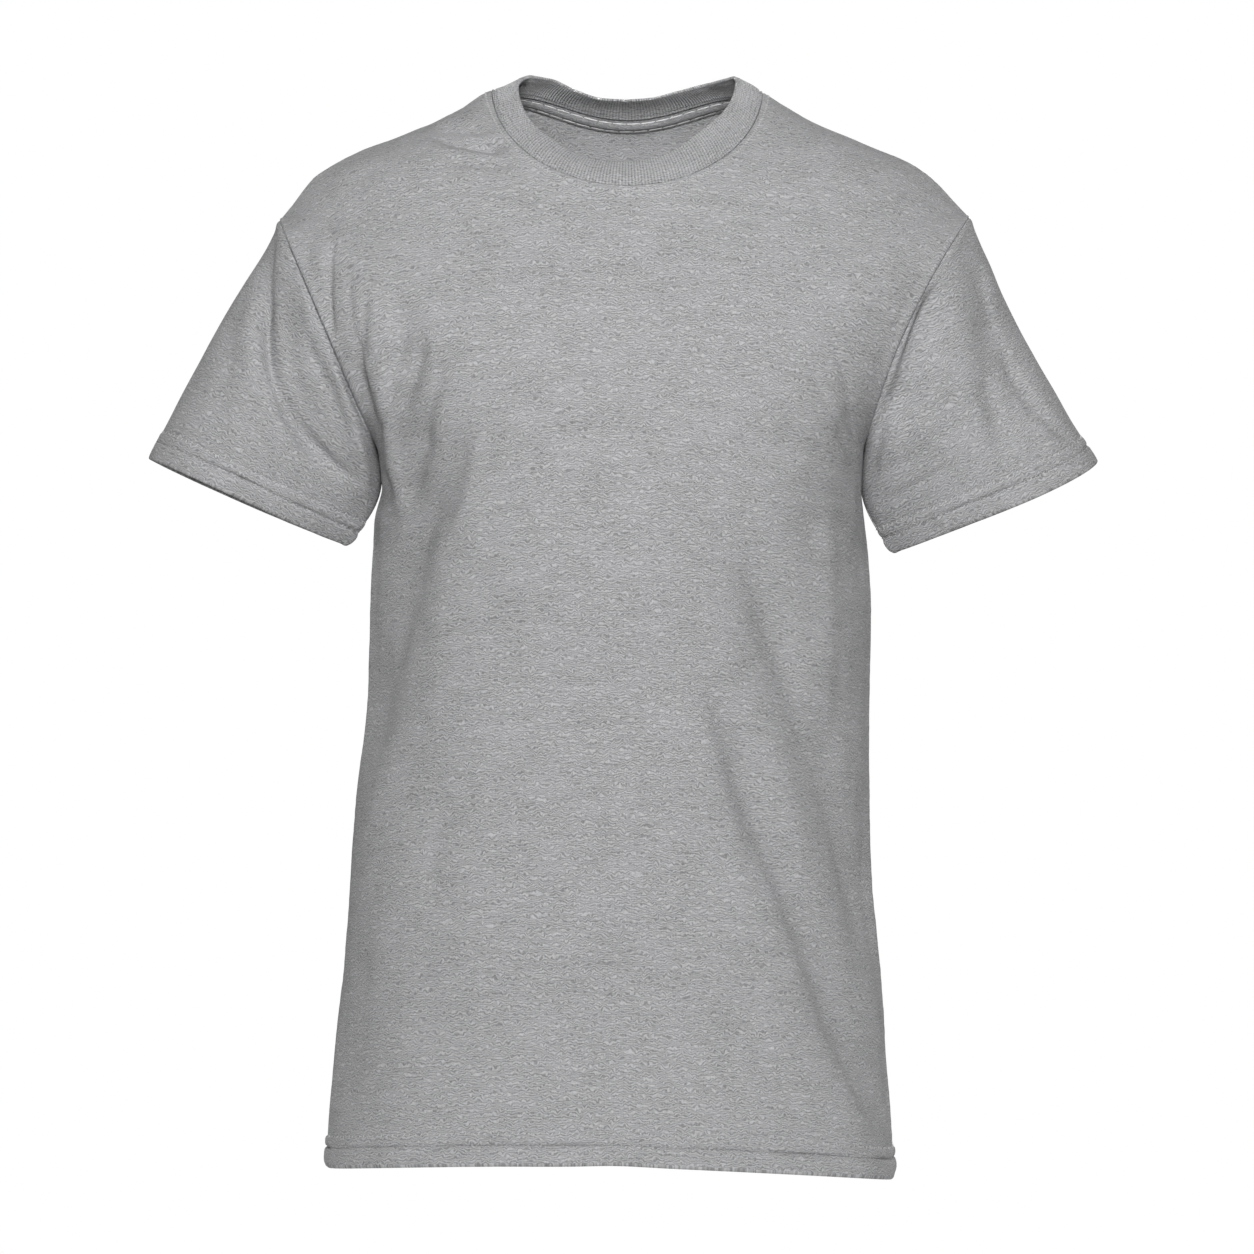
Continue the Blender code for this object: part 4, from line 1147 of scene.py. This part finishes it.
def panel_piece(face, cloth):
    """The front or back: its form, creases, waves, hem, seams and neckline, with its rows of sewing."""
    form = shirt_form()
    base, normal, rows = form["grids"][face], form["normals"][face], form["rows"]
    run, rise = run_length(base, 1), run_length(base, 0)
    to_side, to_neck = np.minimum(run, run[:, -1:] - run), rise[-1:] - rise
    from_middle = run - run[:, [run.shape[1] // 2]]
    drape = form["calm"] * unevenness(base) + fold_depth(base, CREASES, np.minimum(to_side, to_neck))
    flare = BODY_FLARE * np.clip(1 - rise / FLARE_RISE, 0, 1) ** 2
    hollow = HOLLOW * bell(rise - HOLLOW_RISE, HOLLOW_WIDTH)
    drape = drape + (flare - hollow) * (1 - bell(to_side, FLARE_CLEAR))
    full = BODY_ROLLS + BODY_ROLLS_MORE * bell(to_side, BODY_ROLLS_WIDTH)
    flare = HEM_FLARE * (1 - bell(to_side, HEM_FLARE_CLEAR))
    plain = 1 - ease(rows, PIT - 0.12, PIT) * ease(rows, PIT + 0.45, PIT + 0.15)
    hole = ease(rows, PIT + 0.10, PIT + 0.40) * ease(rows, TIP + 0.02, TIP - 0.06)
    lift = drape + hem_lift(base, rise, from_middle, cloth, full, flare)
    lift = lift + seam_lift(base, to_side, rise, plain) * ease(to_neck, 0.001, 0.012)
    lift = lift + HOLE_STEP * hole * ease(to_side, HOLE_FADE, 0.0) * ease(to_side, 0.0, 0.0006)
    lift = lift + neck_lift(base, to_neck, from_middle, cloth)
    name = "front_cloth" if face == FRONT else "back_cloth"
    uv = cloth_places(base, normal, face)
    piece, grids = add_cloth(name, base, normal, drape, lift, rise, uv, cloth, face == BACK)
    lows, highs = (rows_at(grids, -rise, -height) for height in (cloth.hem_low, cloth.hem_high))
    return piece, lows, highs, rows_at(grids, to_neck, cloth.topstitch)


def sleeve_piece(side, name, cloth):
    """A sleeve: its form, creases, waves, tuck, hem and seams, with its rows of sewing."""
    form, key = shirt_form(), ("sleeve", side)
    base, normal = form["grids"][key], form["normals"][key]
    rise = run_length(base[::-1], 0)[::-1]
    run = run_length(np.concatenate([base, base[:, :1]], axis=1), 1)
    around, girth = run[:, :-1], run[:, -1:]
    to_top, under = rise[:1] - rise, np.minimum(around, girth - around)
    from_pit = 1 - abs(1 - form["ring"])
    tuck = SLEEVE_TUCK[side] * ease(from_pit, 0.12, 0.38) * ease(from_pit, 0.95, 0.6)
    drape = ease(form["shares"][side], 0, 0.15) * unevenness(base)
    drape = drape + fold_depth(base, SLEEVE_CREASES[side], np.minimum(to_top, under))
    drape = drape - tuck * bell(to_top - TUCK_DROP, TUCK_WIDTH) * ease(to_top, 0, 0.0008)
    full = CUFF_ROLLS + CUFF_ROLLS_MORE * bell(under, CUFF_ROLLS_WIDTH)
    lift = drape + hem_lift(base, rise, around, cloth, full, HEM_FLARE * np.sin(math.pi * from_pit) ** 2)
    lift = lift + seam_lift(base, to_top, around, ease(from_pit, 0.2, 0.5))
    lift = lift + seam_lift(base, under, rise, ease(to_top, 0.02, 0.05))
    uv = sleeve_places(base, side)
    piece, grids = add_cloth(name, base, normal, drape, lift, rise, uv, cloth, side == RIGHT, tube=True)
    return piece, rows_at(grids, rise, cloth.hem_low), rows_at(grids, rise, cloth.hem_high)


class SHIRT_OT_panels(bpy.types.Operator):
    """Make the front and the back, with their hems and the stitches of both"""

    bl_idname = "shirt.panels"
    bl_label = "Front and Back"

    def execute(self, context):
        cloth = context.scene.shirt_cloth
        lines = []
        for face, node, flat in ((FRONT, "front", (0.56, 0.76)), (BACK, "back", (0.56, 0.77))):
            piece, *rows = panel_piece(face, cloth)
            dressed(piece, node)
            lines.append(rows)
        lows, highs, necks = zip(*lines)
        add_hem_rows("hem", lows, highs, cloth, closed=False)
        pale = thread("neck_thread", tuple(cloth.pale))
        add_stitches("neck_stitches", necks, pale, cloth.neck_pitch, cloth.thread, NECK_LAY)
        return {"FINISHED"}


class SHIRT_OT_sleeves(bpy.types.Operator):
    """Make both sleeves, with their hems and stitches"""

    bl_idname = "shirt.sleeves"
    bl_label = "Sleeves"

    def execute(self, context):
        cloth = context.scene.shirt_cloth
        lines = []
        for side, node in ((LEFT, "sleeve_right"), (RIGHT, "sleeve_left")):
            piece, *rows = sleeve_piece(side, node + "_cloth", cloth)
            dressed(piece, node)
            lines.append(rows)
        add_hem_rows("cuff", *zip(*lines), cloth, closed=True)
        return {"FINISHED"}


class SHIRT_OT_collar(bpy.types.Operator):
    """Make the ribbed collar"""

    bl_idname = "shirt.collar"
    bl_label = "Collar"

    def execute(self, context):
        cloth = context.scene.shirt_cloth
        form = shirt_form()
        base, normal = form["grids"]["collar"], form["normals"]["collar"]
        band, height, edge = form["band"], form["height"], cloth.collar_strip
        rise = run_length(base, 0)
        wave = (0.5 + 0.5 * np.cos(math.pi * band * RIB_COUNT)) ** RIB_POWER
        ribs = cloth.rib_height * wave * (0.75 + 0.25 * drift(base, 0.02, 41))
        ribs = ribs * ease(rise, edge, edge + 0.0010)
        for share in (ease(abs(abs(band - 1) - 0.5), 0.04, 0.24), ease(height, 1.0, 0.85)):
            ribs = ribs * (RIB_LEAST + (1 - RIB_LEAST) * share)
        strip = STRIP_STEP * (1 - 0.5 * bell(rise, 0.0004)) * ease(rise, edge + 0.0006, edge - 0.0002)
        groove = STRIP_GROOVE * bell(rise - edge, STRIP_GROOVE_WIDTH)
        joint = RIB_JOINT * bell(band - RIB_JOINT_AT, RIB_JOINT_WIDTH)
        outer = base + (ribs + strip - groove - joint)[..., None] * normal
        inner = base - (COLLAR_WALL * (1 - 0.25 * height) + 1.5 * ribs)[..., None] * normal
        girth = RIB_COUNT * cloth.rib_pitch
        uv = np.stack([band / 2 * girth, rise, np.full_like(band, girth)], axis=-1)
        # The last number paints shade into the valleys between the ribs, in step with their crests
        knit = heather("heather_rib", tuple(cloth.rib), 0.8, 0.00020, cloth.rib_pitch, 0.30)
        piece = add_wall("collar_rib", *rounded(outer, inner, uv, last=True), knit, wrap=True)
        dressed(piece, "collar")
        return {"FINISHED"}


class SHIRT_OT_tape(bpy.types.Operator):
    """Make the tape inside the back of the neck, with its two rows of stitches"""

    bl_idname = "shirt.tape"
    bl_label = "Neck Tape"

    def execute(self, context):
        cloth = context.scene.shirt_cloth
        across = np.linspace(-TAPE_ENDS, TAPE_ENDS, TAPE_COLUMNS)
        level = np.full_like(across, NECK)
        climb = panel(BACK, across, level) - panel(BACK, across, level - TAPE_PACE)
        pace = np.linalg.norm(climb, axis=-1) / TAPE_PACE
        columns, share = np.meshgrid(across, np.linspace(0, 1, TAPE_ROWS))
        distance = TAPE_MARGIN + TAPE_WIDTH * (1 - share)
        on_back = panel(BACK, columns, NECK - distance / pace)
        normal = -grid_normals(on_back)
        run = run_length(on_back, 1)
        marks = (TAPE_ROW_SHARE, 1 - TAPE_ROW_SHARE)
        dips = TAPE_DIP * sum(bell(share - mark, TAPE_DIP_WIDTH) for mark in marks)
        ripple = TAPE_TUG * pucker(on_back, run, *TAPE_PUCKER)
        belly = TAPE_BELLY * np.sin(math.pi * share) ** 0.7 + ripple - dips
        near, far = on_back - TAPE_NEAR * normal, on_back - (TAPE_FAR + belly)[..., None] * normal
        ends = rounded(near, far, np.stack([run + 8, distance], axis=-1), first=True, last=True)
        knit = heather("heather_tape", tuple(cloth.tape), 0.8, 0.00016, 0.0016, 0.05)
        dressed(add_wall("neck_tape_cloth", *ends, knit, flip=True), "neck_tape")
        rows = [round((TAPE_ROWS - 1) * mark) for mark in marks]
        lines = [(far[row], -normal[row]) for row in rows]
        # The cords' pale thread is painted near white, as painted light inside the shaded neck
        painted_light_cord = thread("tape_thread", tuple(cloth.painted_light_cord))
        add_stitches("tape_stitches", lines, painted_light_cord, cloth.cord_pitch, cloth.cord_width, TAPE_LAY)
        return {"FINISHED"}


def area_light(name, energy, place, target, size, spread):
    """A square soft light at a place, facing a target, whose beam spreads over this many degrees."""
    data = bpy.data.lights.new(name, "AREA")
    data.shape = "SQUARE"
    data.size = size
    data.energy = energy
    data.spread = math.radians(spread)
    light = bpy.data.objects.new(name, data)
    light.location = place
    way = np.array(target) - np.array(place)
    flat = math.hypot(way[0], way[1])
    light.rotation_euler = (math.atan2(flat, -way[2]), 0, math.atan2(-way[0], way[1]))
    bpy.context.scene.collection.objects.link(light)


def add_floor(studio):
    """A round pale floor."""
    angle = np.arange(studio.floor_sides) * 2 * math.pi / studio.floor_sides
    ring = np.stack([np.cos(angle), np.sin(angle), 0 * angle], axis=-1) * studio.floor_radius
    mesh = bpy.data.meshes.new("floor")
    mesh.from_pydata((ring + (0, 0, -studio.floor_drop)).tolist(), [], [list(range(len(ring)))])
    material, wire, shader = new_material("pale_floor")
    place = wire.add("ShaderNodeTexCoord", output=3)
    grain = wire.noise(place, (40, 40, 40), 3.0, 0.6)
    colour = wire.blend(grain, (0.93, 0.93, 0.93, 1.0), (0.96, 0.96, 0.96, 1.0))
    wire.tree.links.new(colour.socket, shader.inputs["Base Color"])
    shader.inputs["Roughness"].default_value = 0.9
    mesh.materials.append(material)
    floor = bpy.data.objects.new("floor", mesh)
    bpy.context.scene.collection.objects.link(floor)


def add_world(sky):
    """A white backdrop for the camera, which lights the shirt only as far as sky says."""
    world = bpy.data.worlds.new("studio")
    world.use_nodes = True
    tree = world.node_tree
    tree.nodes.clear()
    air = Wire(tree)
    seen = air.add("ShaderNodeLightPath")
    light = air.add("ShaderNodeBackground", None, {"Color": (1, 1, 1, 1), "Strength": sky})
    paper = air.add("ShaderNodeBackground", None, {"Color": (1, 1, 1, 1), "Strength": 1.0})
    both = air.add("ShaderNodeMixShader", None, {0: seen, 1: light, 2: paper})
    output = tree.nodes.new("ShaderNodeOutputWorld")
    tree.links.new(both.socket, output.inputs["Surface"])
    bpy.context.scene.world = world


class SHIRT_OT_stage(bpy.types.Operator):
    """Make the floor, the lights, the world and the camera"""

    bl_idname = "shirt.stage"
    bl_label = "Studio"

    def execute(self, context):
        studio = context.scene.shirt_studio
        add_floor(studio)
        for name, (energy, *lay) in LIGHTS.items():
            area_light(name, getattr(studio, energy), *lay)
        add_world(studio.sky)
        context.scene.view_settings.view_transform = "Standard"
        data = bpy.data.cameras.new("camera")
        data.lens = studio.lens
        data.sensor_width = 36
        camera = bpy.data.objects.new("camera", data)
        camera.location = (0, -studio.distance, CAMERA_Z)
        camera.rotation_euler = (math.pi / 2, 0, 0)
        context.scene.collection.objects.link(camera)
        context.scene.camera = camera
        return {"FINISHED"}


class SHIRT_PT_sidebar(bpy.types.Panel):
    """The shirt's sizes and colours, and the steps that make it"""

    bl_idname = "SHIRT_PT_sidebar"
    bl_label = "Crew Neck T-Shirt"
    bl_space_type = "VIEW_3D"
    bl_region_type = "UI"
    bl_category = "Shirt"

    def draw(self, context):
        for group in (context.scene.shirt_cloth, context.scene.shirt_studio):
            column = self.layout.column(align=True)
            for name in type(group).__annotations__:
                column.prop(group, name)
        for operator in OPERATORS:
            self.layout.operator(operator.bl_idname)


OPERATORS = (SHIRT_OT_panels, SHIRT_OT_sleeves, SHIRT_OT_collar, SHIRT_OT_tape, SHIRT_OT_stage)
CLASSES = (ShirtCloth, ShirtStudio, *OPERATORS, SHIRT_PT_sidebar)


def register():
    for cls in CLASSES:
        bpy.utils.register_class(cls)
    bpy.types.Scene.shirt_cloth = PointerProperty(type=ShirtCloth)
    bpy.types.Scene.shirt_studio = PointerProperty(type=ShirtStudio)


def unregister():
    del bpy.types.Scene.shirt_studio
    del bpy.types.Scene.shirt_cloth
    for cls in reversed(CLASSES):
        bpy.utils.unregister_class(cls)


def main():
    register()
    bpy.ops.shirt.panels()
    bpy.ops.shirt.sleeves()
    bpy.ops.shirt.collar()
    bpy.ops.shirt.tape()
    bpy.ops.shirt.stage()


if __name__ == "__main__":
    main()
